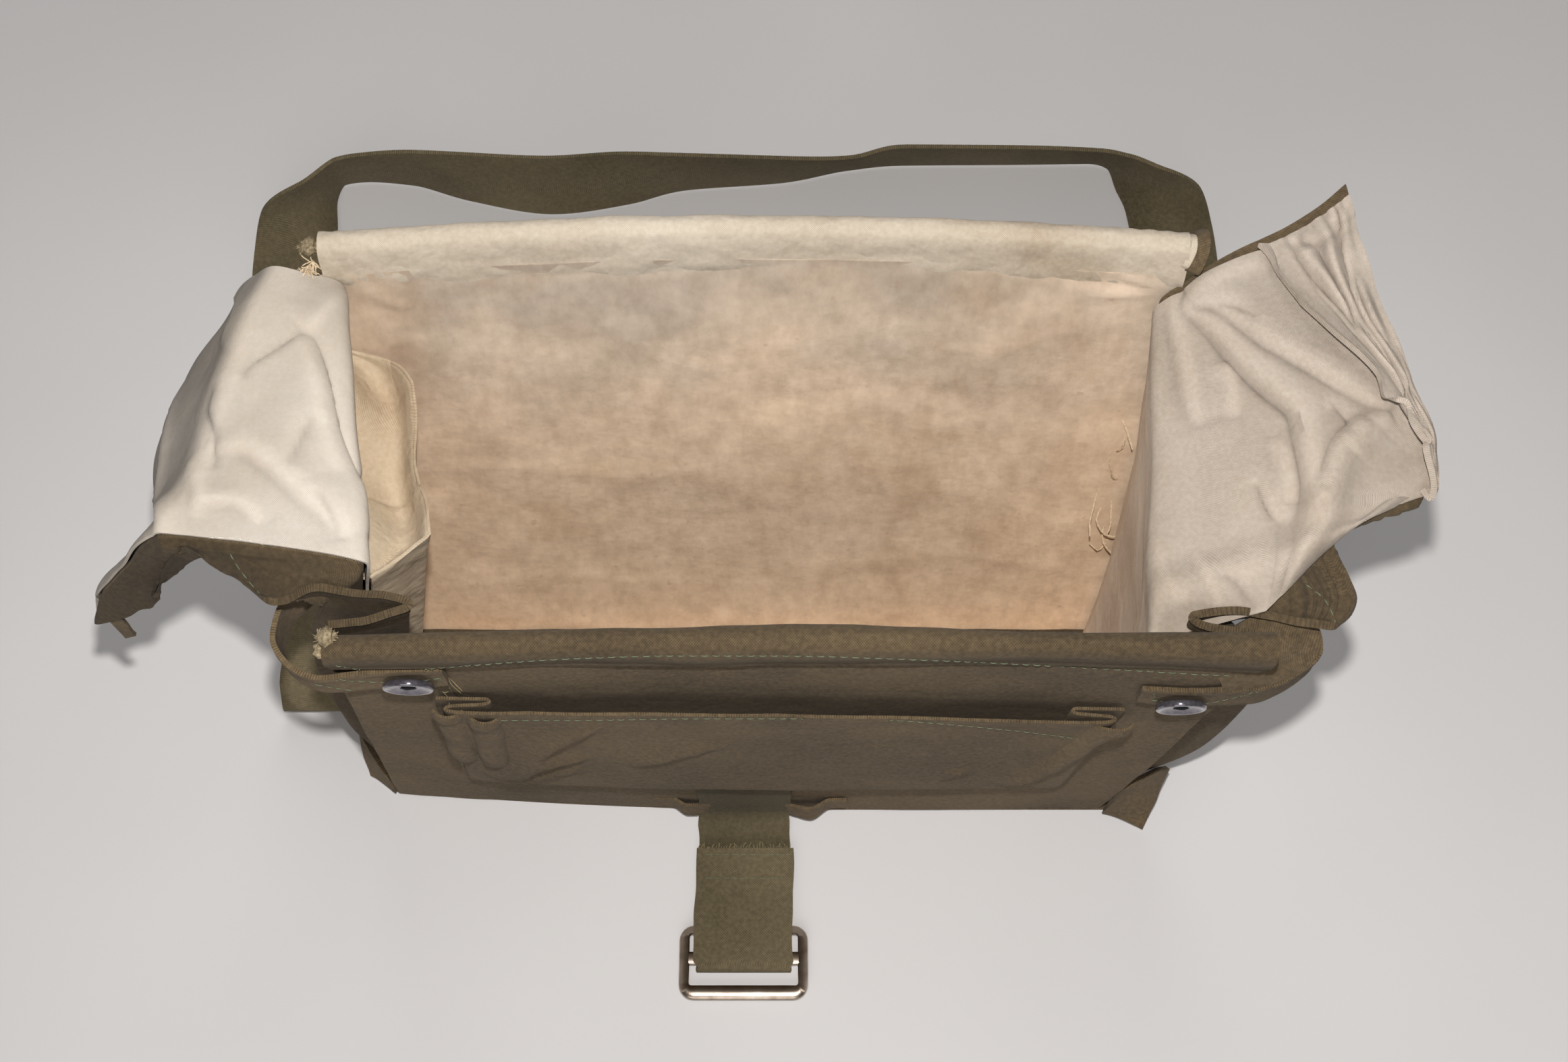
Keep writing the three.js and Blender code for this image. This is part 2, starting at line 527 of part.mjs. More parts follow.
function shoulderStrap() {
  const sections = SHOULDER_ROWS.map(({ x, y, z, way }) => {
    const across = at(...way).normalize();
    return [0, 0.5, 1].map((share) => at(x, y, z).addScaledVector(across, share * SHOULDER.width));
  });
  return cloth(loft(sections, 2, 1), SHOULDER.thick);
}

// Small tape that hangs from the front edge of the left flap, near its tip
function flapTab() {
  const hem = LEFT_GRID.map((row) => row[row.length - 1]);
  const grid = [0.7, 1.0, 1.3].map((place) => [0, 0.5, 1].map((down) => {
    const point = pointAlong(hem, FLAP_FRONT_ROW + place);
    return at(point.x, point.y, point.z - 0.6 - 24 * down);
  }));
  return cloth(grid, 1.2);
}

const CANVAS_MATERIAL = material(COLOURS.canvas, 0.95, 0);
const LINING_MATERIAL = material(COLOURS.lining, 0.95, 0);
const COTTON_MATERIAL = material(COLOURS.cotton, 0.95, 0);
const ROPE_MATERIAL = material(COLOURS.rope, 1, 0);
const STEEL_MATERIAL = material(COLOURS.steel, 0.35, 1);
const SNAP_MATERIAL = material(COLOURS.snap, 0.25, 0.6);

function material(color, roughness, metalness) {
  return new THREE.MeshStandardMaterial({ color, roughness, metalness });
}

function piece(group, name, geometry, look) {
  const mesh = new THREE.Mesh(geometry, look);
  mesh.name = name;
  group.add(mesh);
}

function build() {
  const bag = new THREE.Group();
  bag.name = "first_aid_bag";
  piece(bag, "base_panel", basePlate(), CANVAS_MATERIAL);
  piece(bag, "base_lining", plate(-137, 136, -26, 33, 4, FOOT_Z, LINING), LINING_MATERIAL);
  piece(bag, "front_panel", frontPanel(), CANVAS_MATERIAL);
  piece(bag, "front_rope", frontRope(), ROPE_MATERIAL);
  piece(bag, "back_panel", cloth(backWall(0, FOOT_Z, 227.4, 0), CANVAS), CANVAS_MATERIAL);
  piece(bag, "back_lining", cloth(backWall(-LINING_OFFSET, 3.4, 227.2, 3), LINING), LINING_MATERIAL);
  piece(bag, "back_rope", backRope(), ROPE_MATERIAL);
  piece(bag, "lid_canvas", cloth(lidLayer(LID_PROFILE.slice(6), -LINING_OFFSET, 1), CANVAS), CANVAS_MATERIAL);
  piece(bag, "lid_lining", cloth(lidLayer(LID_PROFILE, 0, 0), LINING), COTTON_MATERIAL);
  piece(bag, "left_side", cloth(LEFT_GRID, CANVAS), CANVAS_MATERIAL);
  piece(bag, "right_side", cloth(RIGHT_GRID, CANVAS), CANVAS_MATERIAL);
  piece(bag, "left_side_lining", sideLining(LEFT_GRID, -1, LEFT_LINING_END), COTTON_MATERIAL);
  piece(bag, "right_side_lining", sideLining(RIGHT_GRID, 1, RIGHT_LINING_END), COTTON_MATERIAL);
  piece(bag, "right_flap_pocket", rightFlapPocket(), COTTON_MATERIAL);
  piece(bag, "inner_pocket", innerPocket(), LINING_MATERIAL);
  piece(bag, "front_pocket", frontPocket(), CANVAS_MATERIAL);
  piece(bag, "left_corner_tab", cornerTab(LEFT_TAB_ROWS), CANVAS_MATERIAL);
  piece(bag, "right_corner_tab", cornerTab(RIGHT_TAB_ROWS), CANVAS_MATERIAL);
  piece(bag, "left_snap", snap(-108, -61.4, 191), SNAP_MATERIAL);
  piece(bag, "right_snap", snap(144, -61.5, 173), SNAP_MATERIAL);
  piece(bag, "left_corner_ear", cornerEar(LEFT_EAR), CANVAS_MATERIAL);
  piece(bag, "right_corner_ear", cornerEar(RIGHT_EAR), CANVAS_MATERIAL);
  piece(bag, "strap_keeper", strapKeeper(), CANVAS_MATERIAL);
  piece(bag, "closing_strap", closingStrap(), CANVAS_MATERIAL);
  piece(bag, "buckle", buckle(), STEEL_MATERIAL);
  piece(bag, "shoulder_strap", shoulderStrap(), CANVAS_MATERIAL);
  piece(bag, "flap_tab", flapTab(), CANVAS_MATERIAL);
  return bag;
}

export default build();
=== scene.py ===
"""Looks of an open canvas first aid bag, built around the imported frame.

Lengths are millimetres here and become metres when a mesh is made. Places read from the photograph
are given in thousandths of the picture's width, and are cast onto the surface that carries them.
"""
import math

import bpy
import numpy as np
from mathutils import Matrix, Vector, noise
from mathutils.bvhtree import BVHTree


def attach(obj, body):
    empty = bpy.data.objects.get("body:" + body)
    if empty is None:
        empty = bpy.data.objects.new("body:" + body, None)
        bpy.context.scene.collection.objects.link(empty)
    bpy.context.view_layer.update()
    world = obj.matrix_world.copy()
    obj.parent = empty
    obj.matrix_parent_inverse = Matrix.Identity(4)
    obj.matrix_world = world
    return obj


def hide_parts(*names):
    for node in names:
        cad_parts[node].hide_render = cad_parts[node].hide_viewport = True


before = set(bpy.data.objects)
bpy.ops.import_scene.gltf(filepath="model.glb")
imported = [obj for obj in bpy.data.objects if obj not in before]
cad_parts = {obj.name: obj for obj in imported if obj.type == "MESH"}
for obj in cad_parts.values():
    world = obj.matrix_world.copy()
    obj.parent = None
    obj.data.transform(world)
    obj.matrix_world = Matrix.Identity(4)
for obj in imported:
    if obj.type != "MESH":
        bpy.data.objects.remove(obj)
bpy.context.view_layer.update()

MM = 0.001
PICTURE = {"width": 2324, "height": 1574}
CAMERA = {"place": (13.0, -302.0, 807.0), "tilt": 25.6, "lens": 46.96, "sensor": 36.0}
RNG = np.random.default_rng(11)

# Cloth thicknesses and the space between canvas and lining
CANVAS = 1.4
LINING = 1.0
LINING_OFFSET = 1.6
SIDE_LINING_OFFSET = 2.2
FOOT_Z = 1.9

# Sizes shared with the solids
FRONT = {"foot": -41.5, "top": -60, "height": 217, "foot_left": -145, "foot_right": 142,
         "top_left": -130, "top_right": 165}
BACK = {"foot": 38.5, "top": 73.5, "height": 236, "left": -143, "right": 147, "bow": 7.3}
ROPE = {"front": 3.0, "back": 2.8, "behind": 2.5, "step": 1.6, "lay": 11, "fibres": 450, "fibre": 0.16}
LID = {"drop": 214, "left": -141, "right": 147}
POCKET = {"left": -106, "right": 126, "low": 58, "high": 168, "arch": 7, "tilt": -11, "pleat": 17,
          "depth": 7.6, "seam": 1.9, "thick": 1.0}
KEEPER = {"left": -40, "right": 38, "low": 9, "high": 22, "thick": 1.2, "loop": 4.5, "sag": 5}
STRAP = {"centre": -3, "width": 37, "thick": 1.4, "end": -60.0, "end_height": 4.4}
BUCKLE = {"width": 51, "front": -121, "back": -91.5, "low": 2.0, "thick": 2.2, "corner": 6,
          "side_bar": 4.0, "front_bar": 5.6, "back_bar": 3.6, "middle_bar": 5.4, "middle": -104.6}
SHOULDER = {"width": 38, "thick": 1.8}
BASE = {"half": 146, "back": 39.4, "thick": 1.5}
BASE_COTTON = {"left": -137, "right": 136, "front": -26, "back": 33, "level": 2.4}
TAB_THICK = 1.8
EAR_THICK = 2.2
TAPE = {"thick": 1.2, "drop": 17.0}
SNAP_SIZE = {"radius": 8.4, "tilt": 0.17, "sides": 48, "socket": 2.7}

# How finely lines in the picture are cast, and how stitches sit on the cloth
PICTURE_STEP = 4.0
STITCH_LIFT = 0.12
STITCH_COVER = 0.62


# Curves, grids and cloth


def mix(a, b, share):
    return a + (b - a) * share


def rise(value, start, stop):
    """0 up to the start, 1 from the stop, and even in between."""
    return np.clip((value - start) / (stop - start), 0, 1)


def bell(value, middle, width):
    """A soft bump that is 1 at its middle."""
    return np.exp(-((value - middle) / width) ** 2)


def grid_of(x, y, z):
    """Points from their coordinates, each a number or an array that can be spread over the others."""
    return np.stack(np.broadcast_arrays(x, y, z), axis=-1)


def slopes_of(values):
    """Slopes at each value that never make the curve overshoot."""
    steps = np.diff(values, axis=0)
    before, after = steps[:-1], steps[1:]
    both = before + after
    steady = before * after > 0
    inner = np.where(steady, 2 * before * after / np.where(steady, both, 1), 0)
    return np.concatenate([steps[:1], inner, steps[-1:]])


def curve(values, steps):
    """Smooth curve through values along the first axis, cut into steps between each two."""
    values = np.asarray(values, float)
    slope = slopes_of(values)
    place = np.linspace(0, len(values) - 1, (len(values) - 1) * steps + 1)
    i = np.minimum(place.astype(int), len(values) - 2)
    f = (place - i).reshape(-1, *[1] * (values.ndim - 1))
    gain = values[i + 1] - values[i]
    bend = slope[i] + slope[i + 1] - 2 * gain
    return values[i] + f * (slope[i] + f * (3 * gain - 2 * slope[i] - slope[i + 1] + f * bend))


def loft(sections, row_steps, column_steps):
    """Grid through a list of sections that have the same number of points."""
    columns = curve(np.swapaxes(np.asarray(sections, float), 0, 1), column_steps)
    return curve(np.swapaxes(columns, 0, 1), row_steps)


def normals_of(grid):
    """Unit normal at each point of a grid."""
    along_rows = np.gradient(grid, axis=0)
    along_columns = np.gradient(grid, axis=1)
    across = np.cross(along_rows, along_columns)
    return across / np.maximum(np.linalg.norm(across, axis=-1, keepdims=True), 1e-9)


def smoothed(field, times):
    """The field with each value drawn towards its neighbours."""
    for _ in range(times):
        padded = np.pad(field, [(1, 1), (1, 1)] + [(0, 0)] * (field.ndim - 2), mode="edge")
        around = padded[:-2, 1:-1] + padded[2:, 1:-1] + padded[1:-1, :-2] + padded[1:-1, 2:]
        field = 0.5 * field + 0.125 * around
    return field


def offset(grid, distance, soften=0):
    """The grid moved along its normals, which can be softened first."""
    way = smoothed(normals_of(grid), soften)
    way = way / np.maximum(np.linalg.norm(way, axis=-1, keepdims=True), 1e-9)
    return grid + way * (np.asarray(distance)[..., None] if np.ndim(distance) else distance)


def lengths_along(line):
    """Distance of each point from the start of its line."""
    return np.concatenate([[0], np.cumsum(np.linalg.norm(np.diff(line, axis=0), axis=1))])


def points_at(line, places):
    """Points at given distances along a line."""
    along = lengths_along(line)
    return np.stack([np.interp(places, along, column) for column in line.T], axis=1)


def line_length(grid, axis):
    """Distance of each grid point from the grid's edge, measured along one axis."""
    steps = np.linalg.norm(np.diff(grid, axis=axis), axis=-1)
    start = np.zeros_like(steps[:1] if axis == 0 else steps[:, :1])
    return np.cumsum(np.concatenate([start, steps], axis=axis), axis=axis)


def ripple(points, size, height, seed):
    """Soft unevenness of cloth, the same on each run."""
    flat = np.asarray(points).reshape(-1, 3) / size
    values = [noise.noise(Vector((x + seed, y - seed, z + 2 * seed))) for x, y, z in flat]
    return height * np.array(values).reshape(np.shape(points)[:-1])


def make_object(name, vertices, faces, look, uvs=None, wear_and_painted_light=None):
    """A piece of the bag from a mesh in millimetres, with its weave coordinates and its painted light and
    shade.
    """
    mesh = bpy.data.meshes.new(name)
    mesh.from_pydata([tuple(v) for v in np.asarray(vertices) * MM], [], faces)
    if uvs is not None:
        layer = mesh.uv_layers.new(name="weave")
        corners = np.empty(len(mesh.loops), dtype=np.int32)
        mesh.loops.foreach_get("vertex_index", corners)
        layer.data.foreach_set("uv", (np.asarray(uvs)[corners] * MM).ravel())
    if wear_and_painted_light is not None:
        mesh.attributes.new("wear_and_painted_light", "FLOAT", "POINT").data.foreach_set("value", wear_and_painted_light)
    mesh.polygons.foreach_set("use_smooth", [True] * len(mesh.polygons))
    mesh.set_sharp_from_angle(angle=math.radians(50))
    mesh.materials.append(look)
    piece = bpy.data.objects.new(name, mesh)
    bpy.context.scene.collection.objects.link(piece)
    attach(piece, "root")
    return piece


def grid_faces(rows, columns, start=0, closed=False):
    """Faces of a grid of vertices, whose columns can join up into rings."""
    def index(i, j):
        return start + i * columns + j % columns
    last = columns if closed else columns - 1
    return [(index(i, j), index(i + 1, j), index(i + 1, j + 1), index(i, j + 1))
            for i in range(rows - 1) for j in range(last)]


def sheet_mesh(grid, thickness):
    """Vertices, faces and weave coordinates of cloth whose middle is the grid."""
    rows, columns = grid.shape[:2]
    half = np.asarray(thickness) / 2
    over, under = offset(grid, half), offset(grid, -half)
    vertices = np.concatenate([over.reshape(-1, 3), under.reshape(-1, 3)])
    shift = rows * columns
    top = grid_faces(rows, columns)
    faces = top + [tuple(k + shift for k in reversed(face)) for face in top]
    rim = [i * columns for i in range(rows - 1)]
    rim += [(rows - 1) * columns + j for j in range(columns - 1)]
    rim += [i * columns + columns - 1 for i in range(rows - 1, 0, -1)]
    rim += list(range(columns - 1, 0, -1))
    faces += [(b, a, a + shift, b + shift) for a, b in zip(rim, rim[1:] + rim[:1])]
    weave = np.stack([line_length(grid, 0), line_length(grid, 1)], axis=-1).reshape(-1, 2)
    return outward(vertices, faces), np.concatenate([weave, weave])


def outward(vertices, faces):
    """The same faces, turned so that the closed shape faces out."""
    volume = 0.0
    for face in faces:
        a, b, c = (vertices[k] for k in (face[0], face[1], face[2]))
        volume += np.dot(a, np.cross(b, c))
        if len(face) == 4:
            d = vertices[face[3]]
            volume += np.dot(a, np.cross(c, d))
    return vertices, faces if volume > 0 else [tuple(reversed(face)) for face in faces]


def fold_relief(grid):
    """How far each point stands out from the cloth around it, on the side of the normals."""
    return ((grid - smoothed(grid, 14)) * normals_of(grid)).sum(-1)


def cloth(name, grid, thickness, look, slot, *nodes, shade=0.0, painted_light=0.0):
    """A piece of cloth. Shade paints shade into its folds, and the painted light value makes it paler above
    0 and darker below.
    """
    (vertices, faces), weave = sheet_mesh(grid, thickness)
    # Painted light and shade: fold relief times shade darkens the folds, and the painted light value darkens
    # or lightens given places
    wear_and_painted_light = np.tile((np.clip(shade * fold_relief(grid), -0.5, 0.16) + painted_light).ravel(), 2)
    piece = make_object(name, vertices, faces, look, weave, wear_and_painted_light)
    if nodes:
        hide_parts(*nodes)
    return piece


# Casting picture points onto surfaces and making creases


def view_ray(column, row):
    """The way the camera looks at a picture point."""
    tilt = math.radians(CAMERA["tilt"])
    up = np.array([0, math.cos(tilt), math.sin(tilt)])
    ahead = np.array([0, math.sin(tilt), -math.cos(tilt)])
    scale = CAMERA["sensor"] / CAMERA["lens"] / 1000
    middle = 500 * PICTURE["height"] / PICTURE["width"]
    way = ahead + scale * (column - 500) * np.array([1.0, 0, 0]) - scale * (row - middle) * up
    return way / np.linalg.norm(way)


def tree_of(*grids):
    """Search tree of grids, for casting."""
    vertices, faces = [], []
    for grid in grids:
        rows, columns = grid.shape[:2]
        faces += grid_faces(rows, columns, len(vertices))
        vertices += [tuple(p) for p in grid.reshape(-1, 3)]
    return BVHTree.FromPolygons(vertices, faces)


def both_sides(grid, thickness):
    return tree_of(offset(grid, thickness / 2), offset(grid, -thickness / 2))


def cast(points, tree):
    """Places on a surface that the camera sees at picture points; misses are left out."""
    found = []
    for column, row in points:
        hit = tree.ray_cast(Vector(CAMERA["place"]), Vector(view_ray(column, row)))
        if hit[0] is not None:
            found.append(tuple(hit[0]))
    return np.array(found)


def picture_line(corners):
    """Even points along a smooth line in the picture through its corners."""
    smooth = curve(corners, 8)
    length = lengths_along(smooth)[-1]
    count = max(2, int(length / PICTURE_STEP) + 1)
    return points_at(smooth, np.linspace(0, length, count))


def crease(points, normals, line, widths, height):
    """Height of a fold along a line of places, fading at its ends, with a width on each side."""
    if len(line) < 2:
        return np.zeros(points.shape[:-1])
    flat = points.reshape(-1, 3)
    start, way = line[:-1], np.diff(line, axis=0)
    sizes = np.maximum((way ** 2).sum(1), 1e-9)
    share = (((flat[:, None] - start) * way).sum(-1) / sizes).clip(0, 1)
    gap = np.linalg.norm(flat[:, None] - (start + share[..., None] * way), axis=-1)
    best = gap.argmin(1)
    pick = np.arange(len(flat))
    nearest = start[best] + share[pick, best, None] * way[best]
    on_left = (np.cross(normals.reshape(-1, 3), way[best]) * (flat - nearest)).sum(-1) > 0
    width = np.where(on_left, *widths)
    place = (best + share[pick, best]) / len(way)
    fade = np.clip(4.5 * place * (1 - place), 0, 1) ** 0.6
    return (height * fade * np.exp(-(gap[pick, best] / width) ** 1.2)).reshape(points.shape[:-1])


def creased(grid, folds, side, strength=1.0):
    """The grid with folds raised towards the side that the camera sees.

    A fold is its height, its widths to the left and the right of its line, and the line in the picture.
    """
    tree = tree_of(grid)
    normals = side * normals_of(grid)
    raised = np.zeros(grid.shape[:-1])
    for height, widths, corners in folds:
        line = cast(picture_line(corners), tree)
        raised += crease(grid, normals, line, widths, strength * height)
    return offset(grid, side * raised, 3)


# Thread: stitches, loose ends and frays


def tube_mesh(line, radii, sides, start):
    """Round tube along a line, its vertices counted from a start."""
    line = np.asarray(line, float)
    way = np.gradient(line, axis=0)
    way /= np.maximum(np.linalg.norm(way, axis=1, keepdims=True), 1e-9)
    other = np.where(np.abs(way[:, 2:]) < 0.9, [[0, 0, 1.0]], [[1.0, 0, 0]])
    side = np.cross(way, other)
    side /= np.linalg.norm(side, axis=1, keepdims=True)
    up = np.cross(side, way)
    turn = np.arange(sides) * 2 * math.pi / sides
    ring = np.cos(turn)[None, :, None] * side[:, None] + np.sin(turn)[None, :, None] * up[:, None]
    vertices = (line[:, None] + np.reshape(radii, (-1, 1, 1)) * ring).reshape(-1, 3)
    faces = grid_faces(len(line), sides, start, closed=True)
    last = start + (len(line) - 1) * sides
    faces += [tuple(range(start + sides - 1, start - 1, -1)), tuple(range(last, last + sides))]
    return vertices, faces


def threads(name, lines, look, sides=5):
    """One piece made of many small round threads, each a line of places with a radius."""
    vertices, faces, count = [], [], 0
    for line, radius in lines:
        taper = np.full(len(line), radius)
        taper[[0, -1]] *= 0.6
        more, quads = tube_mesh(line, taper, sides, count)
        vertices.append(more)
        faces += quads
        count += len(more)
    piece = make_object(name, np.concatenate(vertices), faces, look)
    return piece


def stitch_run(corners, tree, pitch, radius):
    """Stitches along a line in the picture, on the surface of a tree."""
    line = cast(picture_line(corners), tree)
    if len(line) < 2:
        return []
    runs = []
    for middle in np.arange(pitch / 2, lengths_along(line)[-1], pitch):
        spots = points_at(line, middle + pitch * STITCH_COVER * np.linspace(-0.5, 0.5, 5))
        raised = []
        for spot, high in zip(spots, (-0.25, 0.8, 1.0, 0.8, -0.25)):
            place, normal, _, _ = tree.find_nearest(Vector(spot))
            eye = Vector(CAMERA["place"]) - place
            normal = normal if normal.dot(eye) > 0 else -normal
            raised.append(tuple(place + normal * (STITCH_LIFT + radius * high)))
        runs.append((np.array(raised), radius))
    return runs


def loose_thread(start, way, length, curl, radius):
    """A thread end that leaves a place along a way, curls and droops."""
    steps = 7
    droop = np.array([0, 0, 0.3 / steps])
    way = np.asarray(way, float)
    way = way / np.linalg.norm(way)
    turn = RNG.normal(size=3) * curl
    points = [np.asarray(start, float)]
    for _ in range(steps):
        points.append(points[-1] + way * length / steps)
        way = way + turn / steps + RNG.normal(size=3) * curl * 0.12 - droop
        way /= np.linalg.norm(way)
    return np.array(points), radius


def fray(line, way, count, length, radius):
    """Short loose ends all along a line of places."""
    line = np.asarray(line, float)
    ends = []
    for _ in range(count):
        k = RNG.uniform(0, len(line) - 1.001)
        i = int(k)
        start = line[i] + (k - i) * (line[i + 1] - line[i])
        lean = np.asarray(way, float) + RNG.normal(size=3) * 0.5
        reach = length * RNG.uniform(0.5, 1.3)
        ends.append(loose_thread(start, lean, length=reach, curl=0.9, radius=radius))
    return ends


# Materials


def srgb(red, green, blue):
    """A linear colour from the red, green and blue of a display."""
    def linear(value):
        value /= 255
        return value / 12.92 if value <= 0.04045 else ((value + 0.055) / 1.055) ** 2.4
    return (linear(red), linear(green), linear(blue), 1.0)


def grey(value):
    return (value, value, value, 1.0)


class Look:
    """A material and short ways to add nodes to it."""

    def __init__(self, name, roughness, metallic=0.0, specular=0.3, sheen=0.0):
        self.material = bpy.data.materials.new(name)
        self.material.use_nodes = True
        self.tree = self.material.node_tree
        self.shader = self.tree.nodes["Principled BSDF"]
        self.shader.inputs["Roughness"].default_value = roughness
        self.shader.inputs["Metallic"].default_value = metallic
        self.shader.inputs["Specular IOR Level"].default_value = specular
        self.shader.inputs["Sheen Weight"].default_value = sheen
        self.places = self.tree.nodes.new("ShaderNodeTexCoord")

    def node(self, kind, **values):
        made = self.tree.nodes.new(kind)
        for key, value in values.items():
            if hasattr(made, key):
                setattr(made, key, value)
            else:
                made.inputs[key.replace("_", " ")].default_value = value
        return made

    def link(self, source, target):
        self.tree.links.new(source, target)

    def feed(self, source, socket):
        """A plain value or another node's result goes into a socket."""
        if isinstance(source, (int, float, tuple)):
            socket.default_value = source
        else:
            self.link(source, socket)

    def noise(self, size, detail=4.0, roughness=0.55, stretch=(1, 1, 1)):
        """Noise of a feature size in millimetres, from 0 to 1."""
        scale = self.node("ShaderNodeMapping")
        scale.inputs["Scale"].default_value = stretch
        self.link(self.places.outputs["Object"], scale.inputs["Vector"])
        made = self.node("ShaderNodeTexNoise", Scale=1000 / size, Detail=detail, Roughness=roughness)
        self.link(scale.outputs["Vector"], made.inputs["Vector"])
        return made.outputs["Fac"]

    def ramp(self, factor, *stops):
        made = self.node("ShaderNodeValToRGB")
        points = made.color_ramp.elements
        while len(points) < len(stops):
            points.new(0.5)
        for point, (place, colour) in zip(points, stops):
            point.position = place
            point.color = colour
        self.link(factor, made.inputs["Fac"])
        return made.outputs["Color"]

    def blend(self, factor, first, second, kind="MIX"):
        made = self.node("ShaderNodeMix", data_type="RGBA", blend_type=kind)
        for source, number in ((factor, 0), (first, 6), (second, 7)):
            self.feed(source, made.inputs[number])
        return made.outputs[2]

    def maths(self, kind, first, second=0.0):
        made = self.node("ShaderNodeMath", operation=kind)
        self.feed(first, made.inputs[0])
        self.feed(second, made.inputs[1])
        return made.outputs[0]

    def wave(self, pitch, direction):
        made = self.node("ShaderNodeTexWave", wave_type="BANDS", bands_direction=direction,
                         Scale=2 * math.pi / (20 * pitch * MM), Distortion=0.6)
        made.inputs["Detail Scale"].default_value = 0.3
        self.link(self.places.outputs["UV"], made.inputs["Vector"])
        return made.outputs["Fac"]

    def weave(self, pitch):
        """Plain weave: threads that pass over and under each other."""
        across = self.maths("SUBTRACT", self.wave(pitch, "X"), 0.5)
        along = self.maths("SUBTRACT", self.wave(pitch, "Y"), 0.5)
        return self.maths("ADD", self.maths("MULTIPLY", across, along), 0.5)

    def with_painted_light(self, colour):
        """The colour, darker or paler by the painted light and shade that the cloth carries."""
        wear_and_painted_light = self.node("ShaderNodeAttribute", attribute_name="wear_and_painted_light")
        share = self.maths("ADD", wear_and_painted_light.outputs["Fac"], 1.0)
        shade = self.node("ShaderNodeCombineColor")
        for socket in shade.inputs[:3]:
            self.link(share, socket)
        return self.blend(1.0, colour, shade.outputs["Color"], "MULTIPLY")

    def bump(self, height, depth, strength=1.0, under=None):
        made = self.node("ShaderNodeBump", Strength=strength, Distance=depth * MM)
        self.link(height, made.inputs["Height"])
        if under is not None:
            self.link(under, made.inputs["Normal"])
        return made.outputs["Normal"]

    def finish(self, colour, normal=None):
        self.link(colour, self.shader.inputs["Base Color"])
        if normal is not None:
            self.link(normal, self.shader.inputs["Normal"])
        return self.material


def fabric(name, light, middle, dark, pitch, depth, specks, crumple, grain=0.28, gaps=0.74):
    """Woven cloth in three colours, mottled, with specks.

    Pitch and depth are the weave's, in millimetres. Crumple is the size of its soft unevenness, grain
    how much its threads differ, and gaps how bright it is between them.
    """
    look = Look(name, roughness=0.92, specular=0.12, sheen=0.05)
    patches = look.ramp(look.noise(70), (0.3, dark), (0.5, middle), (0.72, light))
    slubs = look.ramp(look.noise(1.6, detail=3), (0.35, grey(0)), (0.7, grey(1)))
    colour = look.blend(grain, patches, look.blend(slubs, dark, light))
    weave = look.weave(pitch)
    shaded = look.ramp(weave, (0.28, grey(gaps)), (0.62, grey(1.08)))
    colour = look.blend(1.0, colour, shaded, "MULTIPLY")
    spots = look.ramp(look.noise(3.2, detail=1), (0.0, grey(0)), (0.73, grey(0)), (0.78, grey(1)))
    colour = look.blend(look.maths("MULTIPLY", spots, specks), colour, dark)
    folds = look.maths("ABSOLUTE", look.maths("SUBTRACT", look.noise(30, detail=3), 0.5))
    dents = look.bump(look.noise(12, detail=3), 1.4 * crumple, 0.7)
    soft = look.bump(folds, 6 * crumple, 0.7, dents)
    return look.finish(look.with_painted_light(colour), look.bump(weave, depth, 0.8, soft))


def stained_lining_with_painted_light(name, clean, tan, brown_with_painted_light):
    """Cotton lining with old stains that get browner towards the base, where the colour is also brighter as
    painted light.
    """
    look = Look(name, roughness=0.93, specular=0.1, sheen=0.05)
    split = look.node("ShaderNodeSeparateXYZ")
    look.link(look.places.outputs["Object"], split.inputs["Vector"])
    height = look.maths("MULTIPLY", split.outputs["Z"], 1 / (230 * MM))
    uneven = look.maths("MULTIPLY", look.maths("SUBTRACT", look.noise(95, detail=5), 0.5), 0.9)
    # Painted light: the colour gets brighter as well as browner towards the base, deep inside the bag
    colour = look.ramp(look.maths("ADD", height, uneven), (0.05, brown_with_painted_light), (0.55, tan), (0.98, clean))
    stain = look.ramp(look.noise(42, detail=8, roughness=0.7), (0.36, (0.83, 0.79, 0.75, 1)),
                      (0.5, (0.97, 0.97, 0.96, 1)), (0.66, (1.12, 1.13, 1.14, 1)))
    colour = look.blend(0.85, colour, stain, "MULTIPLY")
    streaks = look.noise(7, detail=6, roughness=0.7, stretch=(1, 1, 0.45))
    fine = look.ramp(streaks, (0.34, (0.84, 0.81, 0.77, 1)), (0.62, grey(1.08)))
    colour = look.blend(0.8, colour, fine, "MULTIPLY")
    spots = look.ramp(look.noise(4.0, detail=2), (0, grey(0)), (0.70, grey(0)), (0.76, grey(1)))
    colour = look.blend(look.maths("MULTIPLY", spots, 0.28), colour, srgb(168, 134, 104))
    weave = look.weave(0.62)
    shaded = look.ramp(weave, (0.3, grey(0.9)), (0.6, grey(1.03)))
    colour = look.blend(1.0, colour, shaded, "MULTIPLY")
    soft = look.bump(look.noise(24, detail=4), 2.0, 0.7)
    return look.finish(colour, look.bump(weave, 0.14, 0.7, soft))


def rope_look():
    look = Look("rope", roughness=0.95, specular=0.1)
    fibre = look.noise(1.2, detail=4)
    colour = look.ramp(fibre, (0.3, srgb(100, 88, 68)),
                       (0.55, srgb(146, 132, 106)), (0.8, srgb(178, 165, 140)))
    return look.finish(colour, look.bump(fibre, 0.4, 0.8))


def thread_look(name, colour):
    look = Look(name, roughness=0.8, specular=0.2)
    shade = tuple(0.6 * value for value in colour[:3]) + (1.0,)
    return look.finish(look.ramp(look.noise(0.8, detail=2), (0.3, shade), (0.6, colour)))


